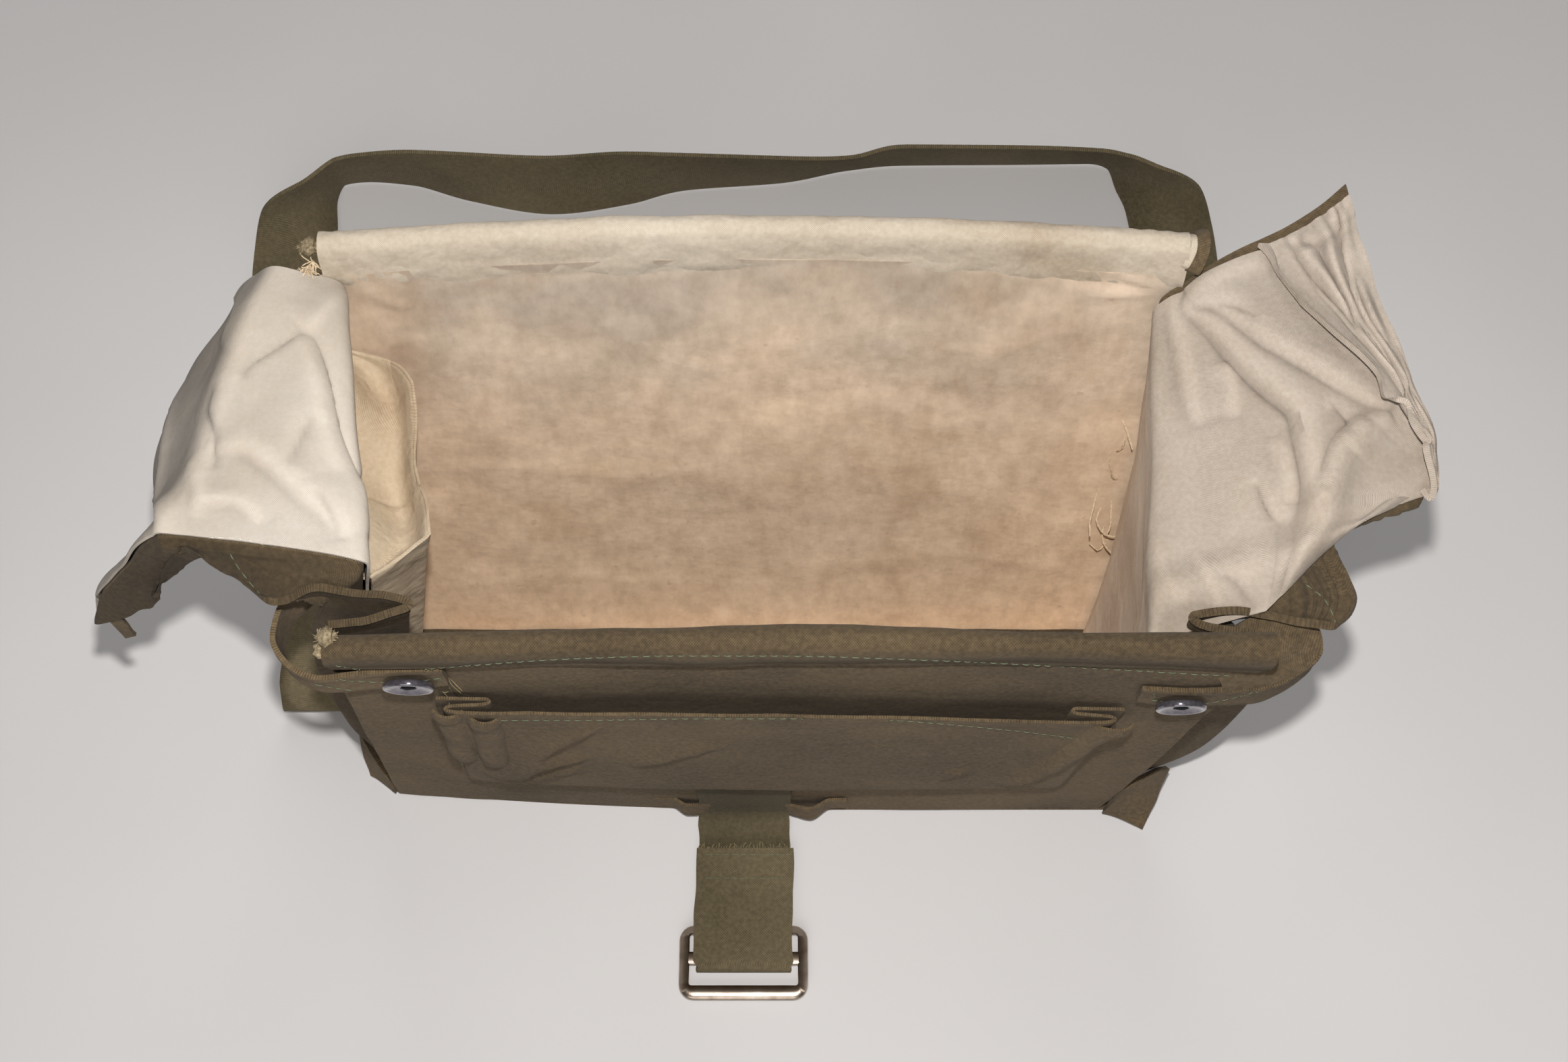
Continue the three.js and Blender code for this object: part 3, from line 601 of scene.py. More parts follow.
def steel_look():
    look = Look("steel", roughness=0.24, metallic=1.0)
    wear_and_painted_light = look.noise(9, detail=4)
    colour = look.ramp(wear_and_painted_light, (0.3, srgb(138, 122, 108)),
                       (0.55, srgb(176, 162, 148)), (0.8, srgb(204, 194, 182)))
    return look.finish(colour, look.bump(wear_and_painted_light, 0.05, 0.3))


def snap_look():
    look = Look("snap_enamel", roughness=0.14, metallic=0.75)
    look.shader.inputs["Coat Weight"].default_value = 0.6
    wear_and_painted_light = look.noise(1.4, detail=3)
    colour = look.ramp(wear_and_painted_light, (0.4, srgb(98, 95, 103)), (0.72, srgb(132, 128, 137)))
    return look.finish(colour, look.bump(wear_and_painted_light, 0.04, 0.3))


OLIVE = fabric("canvas", srgb(118, 101, 77), srgb(99, 85, 65), srgb(74, 63, 48),
               pitch=0.85, depth=0.35, specks=0.5, crumple=0.5, grain=0.5, gaps=0.6)
STRAP_OLIVE = fabric("strap_canvas", srgb(126, 114, 88), srgb(108, 97, 75), srgb(82, 74, 56),
                     pitch=1.0, depth=0.4, specks=0.4, crumple=0.5, grain=0.4, gaps=0.62)
WHITE = fabric("cotton", srgb(196, 189, 180), srgb(190, 181, 170), srgb(180, 168, 153),
               pitch=0.6, depth=0.16, specks=0.05, crumple=0.4)
# A darker, warmer copy of the cotton for the right flap: worn tone and painted shade
WORN_AND_SHADED_WHITE = fabric("worn_and_shaded_cotton", srgb(183, 173, 162), srgb(172, 160, 148), srgb(152, 138, 122),
                    pitch=0.6, depth=0.16, specks=0.06, crumple=0.45)
CREAM = fabric("cream_cotton", srgb(212, 198, 176), srgb(200, 182, 156), srgb(178, 154, 126),
               pitch=0.6, depth=0.12, specks=0.15, crumple=0.9)
ROLL = fabric("roll_cotton", srgb(204, 194, 178), srgb(190, 178, 161), srgb(164, 146, 124),
              pitch=0.6, depth=0.14, specks=0.2, crumple=0.9)
# The last colour, at the base, is a stain brown made brighter as painted light
TAN = stained_lining_with_painted_light("stained_lining_with_painted_light", srgb(180, 166, 151), srgb(228, 203, 177), srgb(250, 222, 191))
ROPE_LOOK = rope_look()
GREEN_THREAD = thread_look("green_thread", srgb(116, 128, 104))
TAN_THREAD = thread_look("tan_thread", srgb(226, 204, 172))
WHITE_THREAD = thread_look("white_thread", srgb(232, 226, 212))
OLIVE_THREAD = thread_look("olive_thread", srgb(134, 122, 92))
STEEL = steel_look()
# Dark disc in each snap's middle: painted shade inside the socket
SOCKET_SHADE = thread_look("snap_socket_shade", srgb(20, 20, 26))
SNAP = snap_look()


# Front wall


def front_foot(x):
    """Where the front wall meets the base, further back at its left end."""
    return FRONT["foot"] + 7.5 * (np.maximum(0, 20 - x) / 166) ** 2


def front_bow(x):
    return 3 * np.cos(math.pi * (x - 15) / 320) - 1


def front_y(x, z):
    return mix(front_foot(x), FRONT["top"] + front_bow(x), z / FRONT["height"])


def front_x(share, z):
    up = z / FRONT["height"]
    left = mix(FRONT["foot_left"], FRONT["top_left"], up)
    right = mix(FRONT["foot_right"], FRONT["top_right"], up)
    return mix(left, right, share)


# Profile of the front wall: distance in front of its plane and height
FRONT_PROFILE = [
    (0, FOOT_Z), (0.6, 50), (0.8, 100), (0.4, 150), (0, 196), (-0.6, 207), (-3.1, 212.2), (-4.3, 217),
    (-3.1, 221.4), (0, 223), (3.1, 221.4), (4.3, 217), (3.7, 212.2), (2.6, 207.6), (2.1, 203.4),
]
HEM_FOOT = 205


def front_grid():
    profile = curve(FRONT_PROFILE, 7)
    shares = np.linspace(0, 1, 190)[:, None]
    z = profile[None, :, 1]
    x = front_x(shares, z)
    y = front_y(x, z) - profile[None, :, 0]
    grid = grid_of(x, y, z)
    grid[..., 2] += np.where(z > HEM_FOOT, ripple(grid * [1, 0, 0], size=34, height=0.9, seed=3.0), 0)
    waves = ripple(grid, size=60, height=1.3, seed=1.0)
    return offset(grid, waves + ripple(grid, size=18, height=0.35, seed=2.0))


FRONT_GRID = front_grid()
FRONT_TREE = both_sides(FRONT_GRID, CANVAS)


def front_wall():
    # Painted shade: the top of the hem is darker above 198 mm
    painted_hem_shade = -0.24 * rise(FRONT_GRID[..., 2], 198, 208)
    cloth("front_wall", FRONT_GRID, CANVAS, OLIVE, "canvas", "front_panel", painted_light=painted_hem_shade)


def twisted_rope(name, line, radius, node, knob_shift):
    """Laid rope of three strands with a frayed end, whose knob can be shifted from the rope's middle."""
    length = lengths_along(line)[-1]
    places = np.linspace(0, length, int(length / ROPE["step"]))
    path = points_at(line, places)
    strands = []
    for k in range(3):
        turn = 2 * math.pi * (places / ROPE["lay"] + k / 3)
        around = np.stack([0 * turn, np.cos(turn), np.sin(turn)], axis=1)
        strands.append((path + 0.46 * radius * around, 0.52 * radius))
    knob = path[0] + knob_shift
    ball = np.array([knob - [2, 0, 0], knob, knob + [2, 0, 0]])
    strands.append((ball, 1.3 * radius))
    piece = threads(name, strands, ROPE_LOOK, sides=7)
    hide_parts(node)
    fuzz = fray(ball, (0, 0, 0), count=ROPE["fibres"], length=0.85 * radius, radius=ROPE["fibre"])
    threads(name + "_fuzz", fuzz, ROPE_LOOK, sides=3)


def front_rope():
    x = np.linspace(FRONT["top_left"] - 3, FRONT["top_right"] - 2, 40)
    line = grid_of(x, front_y(x, FRONT["height"]), FRONT["height"])
    twisted_rope("front_rope_laid", line, ROPE["front"], "front_rope", knob_shift=(4.5, 2.0, 6.0))


# Back wall, its lining and the lid


def back_bow(x):
    share = 2 * (x - BACK["left"]) / (BACK["right"] - BACK["left"]) - 1
    return BACK["bow"] * (1 - share ** 2)


def back_y(x, z):
    return mix(BACK["foot"], BACK["top"] + back_bow(x), z / BACK["height"])


def back_grid(shift, low, high, inset, counts):
    """Grid on the back wall's plane, shifted out from it and inset at both ends."""
    x = np.linspace(BACK["left"] + inset, BACK["right"] - inset, counts[0])[:, None]
    z = np.linspace(low, high, counts[1])[None, :]
    return grid_of(x, back_y(x, z) + shift, z)


# Tucks below the roll and old creases of the back lining
BACK_FOLDS = [
    (1.3, (3.2, 3.2), [(232, 172), (300, 166), (380, 163), (470, 160)]),
    (-0.9, (2.6, 2.6), [(250, 181), (330, 174), (420, 172), (520, 168)]),
    (1.4, (3.0, 3.0), [(470, 163), (560, 160), (640, 164), (700, 172)]),
    (-1.0, (2.4, 2.4), [(560, 168), (640, 170), (700, 178), (742, 184)]),
    (1.5, (2.2, 2.2), [(650, 160), (700, 168), (728, 178), (744, 182)]),
    (1.1, (2.0, 2.0), [(690, 186), (720, 186), (745, 184)]),
    (1.2, (2.0, 2.0), [(232, 182), (246, 190), (262, 196)]),
    (0.9, (4.0, 4.0), [(265, 212), (285, 236), (300, 262), (304, 290)]),
    (0.8, (7.0, 7.0), [(700, 205), (640, 222), (600, 246)]),
    (0.8, (9.0, 9.0), [(280, 300), (330, 296), (400, 302), (470, 296)]),
    (-0.8, (10.0, 10.0), [(430, 240), (500, 252), (560, 246), (640, 262)]),
    (0.7, (7.0, 7.0), [(290, 372), (360, 366), (430, 374)]),
    (0.7, (8.0, 8.0), [(520, 360), (600, 352), (680, 362)]),
]


def back_wall():
    panel = back_grid(shift=0, low=FOOT_Z, high=227.4, inset=0, counts=(60, 46))
    panel = offset(panel, ripple(panel, size=60, height=0.5, seed=5))
    cloth("back_wall", panel, CANVAS, OLIVE, "canvas", "back_panel")
    lining = back_grid(shift=-LINING_OFFSET - 0.2, low=3.4, high=227.2, inset=0.5, counts=(170, 130))
    lining = creased(lining, BACK_FOLDS, 1 if normals_of(lining)[0, 0, 1] < 0 else -1)
    swell = np.abs(ripple(lining, size=45, height=1.0, seed=7))
    lining[..., 1] -= swell + np.abs(ripple(lining, size=15, height=0.25, seed=8))
    cloth("back_wall_lining", lining, LINING, TAN, "lining", "back_lining")
    return lining


# Lid, folded back over a rope: y and z are measured from the rope's middle
LID_PROFILE = [
    (-3.6, -7.8), (-3.8, -2), (-2.9, 2.5), (0, 3.8), (2.9, 2.5), (3.9, -2), (4.4, -12), (6.0, -60),
    (7.4, -140), (6.6, -LID["drop"]),
]


def lid_grid(profile, shift, inset, counts):
    x = np.linspace(LID["left"] + inset, LID["right"] - inset, counts[0])[:, None]
    shape = curve(profile, counts[1])[None]
    y = back_y(x, BACK["height"]) + ROPE["behind"] + shift + shape[..., 0]
    return grid_of(x, y, BACK["height"] + shape[..., 1])


# Hem of the roll, which hangs in front of the lining's top edge
ROLL_HEM = [(-6.4, -17), (-6.2, -12), (-5.2, -6), (-4.4, -1)]


def roll_gather(grid):
    """Height of the puckers near the two ends of the roll."""
    x, _, z = np.moveaxis(grid, -1, 0)
    near_ends = bell(x, LID["right"], 26) + bell(x, LID["left"], 20)
    return np.abs(0.9 * near_ends * np.sin(x / 1.9 + 0.25 * z))


def hanging_waves(grid):
    """How far the hanging part of the lid waves out behind the bag."""
    hanging = rise(BACK["height"] - grid[..., 2], 30, 100)
    broad = np.abs(ripple(grid, size=80, height=6.0, seed=11))
    narrow = np.abs(ripple(grid * [1, 0, 0.3], size=32, height=2.4, seed=12))
    return hanging * (broad + narrow)


def lid_cotton():
    roll = lid_grid(ROLL_HEM + LID_PROFILE[2:], shift=0, inset=0, counts=(200, 8))
    swell = ripple(roll * [1, 0, 0], size=26, height=0.8, seed=9)
    swell += ripple(roll, size=9, height=0.35, seed=10)
    side = 1 if normals_of(roll)[0, 40, 2] > 0 else -1
    roll = offset(roll, side * (np.abs(swell) + 0.5 * roll_gather(roll)))
    roll[..., 1] += hanging_waves(roll)
    from_edge = roll.shape[1] - 1 - np.arange(roll.shape[1])[None, :]
    hemmed_cotton = LINING + 1.0 * bell(from_edge, 0, 1.5) + 0 * roll[..., 0]
    piece = cloth("lid_cotton", roll, hemmed_cotton, ROLL, "cotton", "lid_lining")


def lid_canvas():
    under = lid_grid(LID_PROFILE[6:], shift=-LINING_OFFSET, inset=1, counts=(60, 14))
    piece = cloth("lid_back_canvas", under, CANVAS, OLIVE, "canvas", "lid_canvas")


def back_rope():
    x = np.linspace(LID["left"] - 1, LID["right"] - 2, 40)
    line = grid_of(x, back_y(x, BACK["height"]) + ROPE["behind"], BACK["height"])
    twisted_rope("back_rope_laid", line, ROPE["back"], "back_rope", knob_shift=(-2.5, -0.3, 0.6))


def roll_curl(name, radius, reach, look, slot):
    """Cloth that curls at the right end of the roll."""
    turn = np.radians(np.linspace(-50, 160, 40))[None, :]
    along = np.linspace(0, 1, 12)[:, None]
    x = LID["right"] - 2 + mix(reach - 4, reach, along)
    spread = radius * (1 + 0.25 * along) * (1 - 0.12 * np.sin(3 * turn))
    y = back_y(LID["right"], BACK["height"]) + ROPE["behind"] - spread * np.cos(turn)
    z = BACK["height"] - 1.5 + 0.8 * spread * np.sin(turn)
    cloth(name, grid_of(x + 2 * np.sin(turn), y, z), 0.9, look, slot)


def roll_ends():
    roll_curl("roll_curl_cotton", 5.0, 4.5, ROLL, "cotton")
    roll_curl("roll_curl_canvas", 6.2, 6.5, OLIVE, "canvas")
    knot = np.array([LID["left"] - 2, back_y(LID["left"], BACK["height"]) - 1, BACK["height"] - 3])
    line = [knot, knot + [-4, -2, -2], knot + [3, -4, -3]]
    ends = fray(line, (-0.3, -0.5, -0.4), count=46, length=6, radius=0.2)
    threads("roll_knot", ends, TAN_THREAD)


# Side walls with flaps, a row a section from back to front: foot, bulge, rim, crest and free edge
LEFT_ROWS = [
    ((-144, 35.4), 5, (-137, 67.6, 222), (-154, 69, 232), (-172, 71, 214)),
    ((-145, 24), 5, (-133, 47, 226), (-160, 46, 234), (-188, 50, 192)),
    ((-145, 6), 5, (-128, 16, 226), (-166, 14, 231), (-204, 23, 171)),
    ((-145, -10), 5, (-123, -14, 224), (-172, -10, 228), (-210, -3, 157)),
    ((-145, -18), 5, (-120, -34, 223), (-181, -26, 226), (-227, -21, 150)),
    ((-145, -19), 6, (-120.4, -35.6, 222.6), (-170, -30, 226), (-200, -27, 177)),
    ((-145, -20), 8, (-121, -37, 222), (-158, -32, 225), (-177, -30, 225)),
    ((-145, -22), 11, (-125, -40, 219), (-145, -39, 222), (-160, -38, 222)),
    ((-145, -24), 13, (-133, -43, 214), (-139, -44, 218), (-146, -46, 219)),
    ((-144, -26), 10, (-131, -43, 211), (-131, -43, 217), (-131, -43, 222)),
    ((-139, -28), 1, (-106, -47, 211), (-105, -47, 217), (-104, -47, 222)),
    ((-142, -30.2), 1, (-120, -51.4, 211), (-120, -51.8, 217), (-119, -52, 222)),
    ((-142, -32.2), 1, (-131, -52.6, 211), (-130, -53.0, 217), (-129, -53.2, 222)),
]
RIGHT_ROWS = [
    ((144, 35.4), 5, (141, 66.6, 216), (168, 80, 229), (201, 98, 240)),
    ((145, 22), 5, (139, 45, 210), (172, 50, 224), (207, 65, 234)),
    ((145, 5), 5, (138, 16, 205), (172, 18, 220), (215, 33, 229)),
    ((145, -10), 6, (135, -10, 203), (172, -6, 219), (222, 6, 224)),
    ((145, -20), 7, (133.5, -27, 203), (170, -18, 218), (218, -9, 220)),
    ((145, -23), 10, (134, -32, 203), (165, -22, 217), (196, -14, 218)),
    ((145, -26), 18, (136, -37, 203), (162, -29, 215), (189, -22, 216)),
    ((145, -29), 29, (140, -41, 203), (168, -39, 211), (194, -41, 215)),
    ((145, -31), 34, (150, -43, 202), (170, -45, 208), (188, -49, 211)),
    ((144, -33), 24, (156, -44, 202), (160, -45, 207), (165, -46, 212)),
    ((139, -35), 1, (142, -48, 203), (142, -48.2, 209), (142, -48.4, 214)),
    ((142, -37.4), 1, (152, -51.4, 203), (152, -51.8, 209), (152, -52.2, 214)),
    ((142, -39.4), 1, (162, -52.8, 203), (163, -53.2, 209), (163, -53.6, 214)),
]
WALL_SHARES = (0.3, 0.6, 0.86)
ROW_STEPS = 20
COLUMN_STEPS = 18
FLAP_ROW = 4 * ROW_STEPS
RIM = 4 * COLUMN_STEPS
CREST = 6 * COLUMN_STEPS
EDGE = 9 * COLUMN_STEPS


def side_section(row, outward_x):
    """Points of one section from the foot over the rim and the crest to the free edge."""
    base, bulge, *points = row
    foot = np.array([*base, FOOT_Z], float)
    rim, crest, edge = (np.array(point, float) for point in points)
    wall = []
    for share in WALL_SHARES:
        point = mix(foot, rim, share)
        point[0] += outward_x * bulge * math.sin(math.pi * share) ** 0.7
        wall.append(point)
    climb = mix(rim, crest, 0.45)
    climb[2] += 0.07 * np.linalg.norm(crest - rim)
    fall = []
    for share in (0.35, 0.7):
        point = mix(crest, edge, share)
        point[0] += outward_x * 0.07 * np.linalg.norm(edge - crest) * math.sin(math.pi * share)
        fall.append(point)
    return [foot, *wall, rim, climb, crest, *fall, edge]


# Folds of the two flaps, as the camera sees them
LEFT_FOLDS = [
    (-1.2, (1.6, 1.6), [(196, 213), (202, 222), (210, 247), (215, 273), (225, 304), (229, 322)]),
    (1.2, (3, 9), [(190, 217), (201, 246), (207, 275), (216, 304)]),
    (-1.2, (1.6, 5), [(196, 213), (179, 224), (161, 235), (155, 244)]),
    (2.0, (11, 1.7), [(135, 288), (155, 287), (173, 297), (190, 313), (208, 330), (219, 345)]),
    (-1.0, (2, 6), [(184, 302), (193, 281), (202, 267)]),
    (1.1, (6, 1.6), [(126, 322), (150, 321), (161, 327), (167, 336)]),
    (0.9, (4, 4), [(126, 296), (130, 316), (127, 333)]),
    (-1.1, (2.2, 2.2), [(141, 247), (135, 264), (140, 281), (138, 304)]),
    (-1.0, (1.6, 4), [(202, 316), (213, 333), (219, 348)]),
    (2.2, (9, 1.8), [(127, 229), (118, 258), (112, 299), (108, 333), (102, 356)]),
    (1.0, (3, 6), [(216, 190), (205, 204), (196, 213)]),
    (0.9, (7, 4), [(160, 178), (156, 200), (146, 222)]),
]
RIGHT_FOLDS = [
    (2.7, (15, 1.4), [(755, 196), (773, 210), (793, 233), (812, 250), (829, 267), (832, 289), (836, 319),
                      (833, 344), (837, 362)]),
    (2.0, (12, 1.6), [(757, 196), (773, 197), (796, 211), (815, 225), (834, 236), (857, 249), (884, 264)]),
    (-0.9, (1.6, 3), [(761, 196), (782, 199), (804, 211)]),
    (1.1, (7, 2), [(748, 192), (754, 222), (759, 250), (765, 272)]),
    (0.8, (3, 5), [(782, 233), (787, 256), (787, 268)]),
    (2.2, (7, 1.5), [(868, 272), (854, 289), (846, 306), (837, 331), (834, 350)]),
    (1.2, (4, 2), [(884, 267), (871, 275), (857, 292)]),
    (-1.1, (1.6, 5), [(801, 308), (812, 331), (829, 344), (834, 361)]),
    (1.3, (5, 5), [(759, 189), (787, 175), (807, 169)]),
    (-0.9, (2, 4), [(846, 262), (858, 272), (862, 286)]),
    (0.8, (5, 3), [(812, 282), (820, 300), (822, 322)]),
]


def flap_waves(grid, seed):
    """Softness of the loose flaps, none at the foot."""
    columns = np.linspace(0, 1, grid.shape[1])[None, :]
    loose = np.clip((columns - 0.35) * 3, 0, 1)
    waves = ripple(grid, size=40, height=1.6, seed=seed) + ripple(grid, size=12, height=0.25, seed=seed + 1)
    return loose * waves + ripple(grid, size=30, height=0.6, seed=seed + 2)


def gathered_edge(grid, depth, pitch):
    """Puckers of the sewn edge on the flap."""
    columns = np.linspace(0, 1, grid.shape[1])[None, :]
    near = bell(columns, 1, 0.14)
    along = line_length(grid, 0)
    on_flap = np.arange(grid.shape[0])[:, None] <= FLAP_ROW
    return depth * near * on_flap * np.sin(along * 2 * math.pi / pitch + 1.3 * np.sin(along / 17))


def side_base(rows, outward_x, folds, strength, gather, seed):
    """Canvas of one side: wall, flap and the hem in front of the flap."""
    grid = loft([side_section(row, outward_x) for row in rows], ROW_STEPS, COLUMN_STEPS)
    grid = offset(grid, flap_waves(grid, seed) + gathered_edge(grid, *gather))
    past_flap = np.clip(np.arange(len(grid)) / ROW_STEPS - FLAP_ROW / ROW_STEPS, 0, 1)[:, None]
    near_edge = np.linspace(0, 1, grid.shape[1]) ** 3
    grid[..., 2] += past_flap * near_edge * ripple(grid, size=12, height=4.0, seed=seed + 5)
    return creased(grid, folds, outward_x, strength=strength)


LEFT_BASE = side_base(LEFT_ROWS, -1, LEFT_FOLDS, strength=1.7, gather=(3.0, 62), seed=20)
RIGHT_BASE = side_base(RIGHT_ROWS, 1, RIGHT_FOLDS, strength=2.3, gather=(0.7, 24), seed=30)

# Where the right lining ends behind the front wall: at the foot, the rim and the crest
RIGHT_LINING_FRONT = [(129, -32, FOOT_Z), (130, -52, 203), (165, -46, 214)]
RIGHT_LINING_SLACK = 12
RIGHT_CORNER_FOLDS = [
    (-1.1, (1.8, 4), [(773, 367), (784, 369), (796, 383), (801, 389)]),
    (1.0, (3, 4), [(736, 342), (743, 367), (757, 386)]),
    (1.0, (5, 2), [(760, 352), (772, 372), (778, 392)]),
]
BINDING_ROWS = 3


def left_lining():
    return offset(LEFT_BASE, -SIDE_LINING_OFFSET, 6)[:FLAP_ROW + 1]


def right_lining():
    """The inside layer, set in from the back edge of the flap, where the canvas shows as a binding."""
    moved = offset(RIGHT_BASE, SIDE_LINING_OFFSET, 6)
    loose = np.clip(np.arange(len(moved)) / (1.5 * ROW_STEPS), 0, 1)[:, None]
    moved[:, :RIM, 0] -= RIGHT_LINING_SLACK * loose * (1 - np.arange(RIM) / RIM)
    back = moved[BINDING_ROWS:FLAP_ROW + 1]
    ends = np.array([*RIGHT_LINING_FRONT, moved[5 * ROW_STEPS, -1]], float)
    columns = np.arange(EDGE + 1)
    front = np.stack([np.interp(columns, [0, RIM, CREST, EDGE], axis) for axis in ends.T], axis=1)
    share = np.linspace(0, 1, 30)[1:, None, None]
    corner = mix(back[-1], front, share)
    corner[..., 2] += 4.5 * np.sin(math.pi * share[..., 0]) ** 2 * (columns > RIM)
    grid = np.concatenate([back, corner])
    turn = bell(np.arange(len(grid)), len(back), 9)[:, None, None]
    grid = mix(grid, smoothed(grid, 14), turn)
    return creased(grid, RIGHT_CORNER_FOLDS, 1)


LEFT_LINING_GRID = left_lining()
RIGHT_LINING_GRID = right_lining()


def hemmed(base):
    """Canvas thickness with a turned hem along the free edge in front of the flap."""
    rows, columns = np.indices(base.shape[:2])
    return CANVAS + 1.3 * bell(columns, EDGE, 9) * (rows > FLAP_ROW + 2)


def flap_shade(base, droop, wall):
    """Painted light and shade: one value for the droop behind the crest and one for the wall below the rim,
    darker below 0 and paler above.
    """
    columns = np.arange(base.shape[1])[None, :] + 0 * base[..., 0]
    return droop * rise(columns, CREST + 3, CREST + 9) + wall * rise(RIM - columns, 0, 5)


def sides():
    # Painted shade on the facing in front of each flap, which faces down and away from the light
    facing_in_shade = rise(np.arange(len(LEFT_BASE)), FLAP_ROW, FLAP_ROW + 3)[:, None] + 0 * LEFT_BASE[..., 0]
    cloth("left_wall_flap", LEFT_BASE, hemmed(LEFT_BASE), OLIVE, "canvas", "left_side",
          painted_light=-0.38 * facing_in_shade)
    cloth("right_wall_flap", RIGHT_BASE, hemmed(RIGHT_BASE), OLIVE, "canvas", "right_side",
          painted_light=-0.2 * facing_in_shade)
    # Painted shade on the left droop behind the crest and painted light on the right wall below the rim;
    # shade paints the folds of both linings
    cloth("left_wall_lining", LEFT_LINING_GRID, LINING, WHITE, "cotton", "left_side_lining",
          shade=-0.3, painted_light=flap_shade(LEFT_LINING_GRID, droop=-0.38, wall=0))
    # The right lining's cotton is the darker copy, as painted shade
    cloth("right_wall_lining", RIGHT_LINING_GRID, LINING, WORN_AND_SHADED_WHITE, "cotton", "right_side_lining",
          shade=0.48, painted_light=flap_shade(RIGHT_LINING_GRID, droop=0, wall=0.9))


# Where the mouth of the right flap's pocket runs: share of the way from rim to edge, by section
POCKET_MOUTH = ([0, 1, 2, 3, 4], [0.40, 0.53, 0.74, 0.89, 0.95])

# How far that mouth gapes, by share of the way from the back edge to the front edge of the flap
POCKET_GAPE = ([0, 0.2, 0.55, 0.8, 1], [1.0, 2.5, 6.5, 9.5, 2.0])


def right_flap_pocket():
    """Gathered pocket between its gaping mouth and the flap's edge."""
    rows = np.arange(BINDING_ROWS, FLAP_ROW + 1)
    mouth = RIM + np.interp(rows / ROW_STEPS, *POCKET_MOUTH) * (EDGE - RIM)
    across = np.linspace(0, 1, 60)
    base = offset(RIGHT_BASE, SIDE_LINING_OFFSET + LINING + 0.5, 6)
    normal = smoothed(normals_of(RIGHT_BASE), 6)
    spots = mouth[:, None] + (EDGE - mouth[:, None]) * across[None, :]

    def pick(field):
        picked = [[np.interp(spot, np.arange(EDGE + 1), field[row, :, k]) for k in range(3)]
                  for spot, row in zip(spots, rows)]
        return np.stack(picked).swapaxes(1, 2)

    grid, way = pick(base), pick(normal)
    along = line_length(grid, 0)
    gape = np.interp(rows / FLAP_ROW, *POCKET_GAPE)[:, None]
    lift = gape * (1 - across) ** 1.4
    places = grid_of(across * 6.5, along / 26, 0.0)
    gathers = ripple(places, size=1.0, height=6.5, seed=33) * np.sin(math.pi * across ** 0.8) ** 0.8
    gathers += ripple(places * [0.5, 7, 1], size=1.0, height=2.5, seed=34) * np.exp(-along / 14)
    hem = 1.1 * rise(0.24 - across, 0, 0.05)
    gathers = gathers * np.clip((across - 0.16) / 0.15, 0.12, 1)
    grid = grid + way * (lift + np.abs(gathers) + hem)[..., None]
    thick = LINING + 1.0 * bell(across, 0, 0.03) + 0 * along
    # Darker cotton copy: painted shade on the flap pocket
    cloth("flap_pocket_gathered", grid, thick, WORN_AND_SHADED_WHITE, "cotton", "right_flap_pocket", shade=0.3)


# Pocket on the left wall inside: how far it stands out, its hem's depth and the hollow of its mouth
INNER_POCKET = {"swell": 20, "hem": 5, "mouth": 21, "hollow": 13, "hem_steps": 33}


def inner_pocket():
    rows = np.arange(0, int(3.5 * ROW_STEPS) + 1)
    columns = slice(int(0.5 * COLUMN_STEPS), 3 * COLUMN_STEPS + 1)
    grid = offset(LEFT_BASE, -(SIDE_LINING_OFFSET + LINING + 0.5))[rows, columns].copy()
    along = np.linspace(0, 1, grid.shape[0])[:, None]
    up = np.linspace(0, 1, grid.shape[1])[None, :]
    across = np.sqrt(np.minimum(1, 4 * along)) * np.minimum(1, 6 * (1 - along))
    waves = 1.8 * np.sin(along * 8 + 0.8) + 0.6 * np.sin(along * 21)
    grid[..., 0] += (INNER_POCKET["swell"] * across + waves * across) * np.sqrt(up)
    grid[..., 0] += 1.4 * np.sin(along * 46 + 3 * up) * np.sin(math.pi * up) * across
    grid[..., 1] -= 1.5 * (1 - along)
    grid[..., 2] += 5 * np.sin(along * 9) * up * across
    share = np.linspace(0, 1, INNER_POCKET["hem_steps"] + 1)[None, 1:]
    hem = np.repeat(grid[:, -1:], INNER_POCKET["hem_steps"], axis=1)
    hem[..., 0] -= (INNER_POCKET["hem"] + INNER_POCKET["mouth"] * across) * share
    hem[..., 2] += 1.2 * np.sin(math.pi * np.minimum(1, share * 5))
    hem[..., 2] -= INNER_POCKET["hollow"] * across * np.sin(math.pi * share ** 0.8) ** 1.2
    places = grid_of(along * 4, share * 1.4, 0.0)
    hem[..., 2] += 9 * ripple(places, size=1.0, height=1.0, seed=37) * np.sin(math.pi * share) * across
    cloth("left_inner_pocket", np.concatenate([grid, hem], axis=1), LINING, CREAM, "lining", "inner_pocket")


# Patch pocket on the front wall: a section of its side, share of the pleat and distance out from the wall
PLEAT_SECTION = [
    (0, POCKET["seam"]), (0.55, 2.1), (1, 2.4), (1.06, 3.3), (0.96, 4.1), (0.3, 4.7), (0.2, 5.6), (0.3, 6.5),
    (0.75, 7.2), (1.3, POCKET["depth"]),
]
POCKET_FOLDS = [
    (2.4, (7, 2.2), [(330, 491), (340, 483), (356, 471), (382, 461)]),
    (2.2, (5, 2.0), [(316, 494), (332, 490), (350, 484), (376, 481)]),
    (1.4, (3, 2.0), [(322, 498), (346, 493), (372, 489)]),
    (1.5, (6, 2.4), [(402, 487), (432, 479), (462, 474)]),
    (1.2, (2, 3), [(600, 496), (611, 490), (618, 493)]),
    (1.8, (5, 2.2), [(640, 500), (662, 492), (684, 480)]),
]


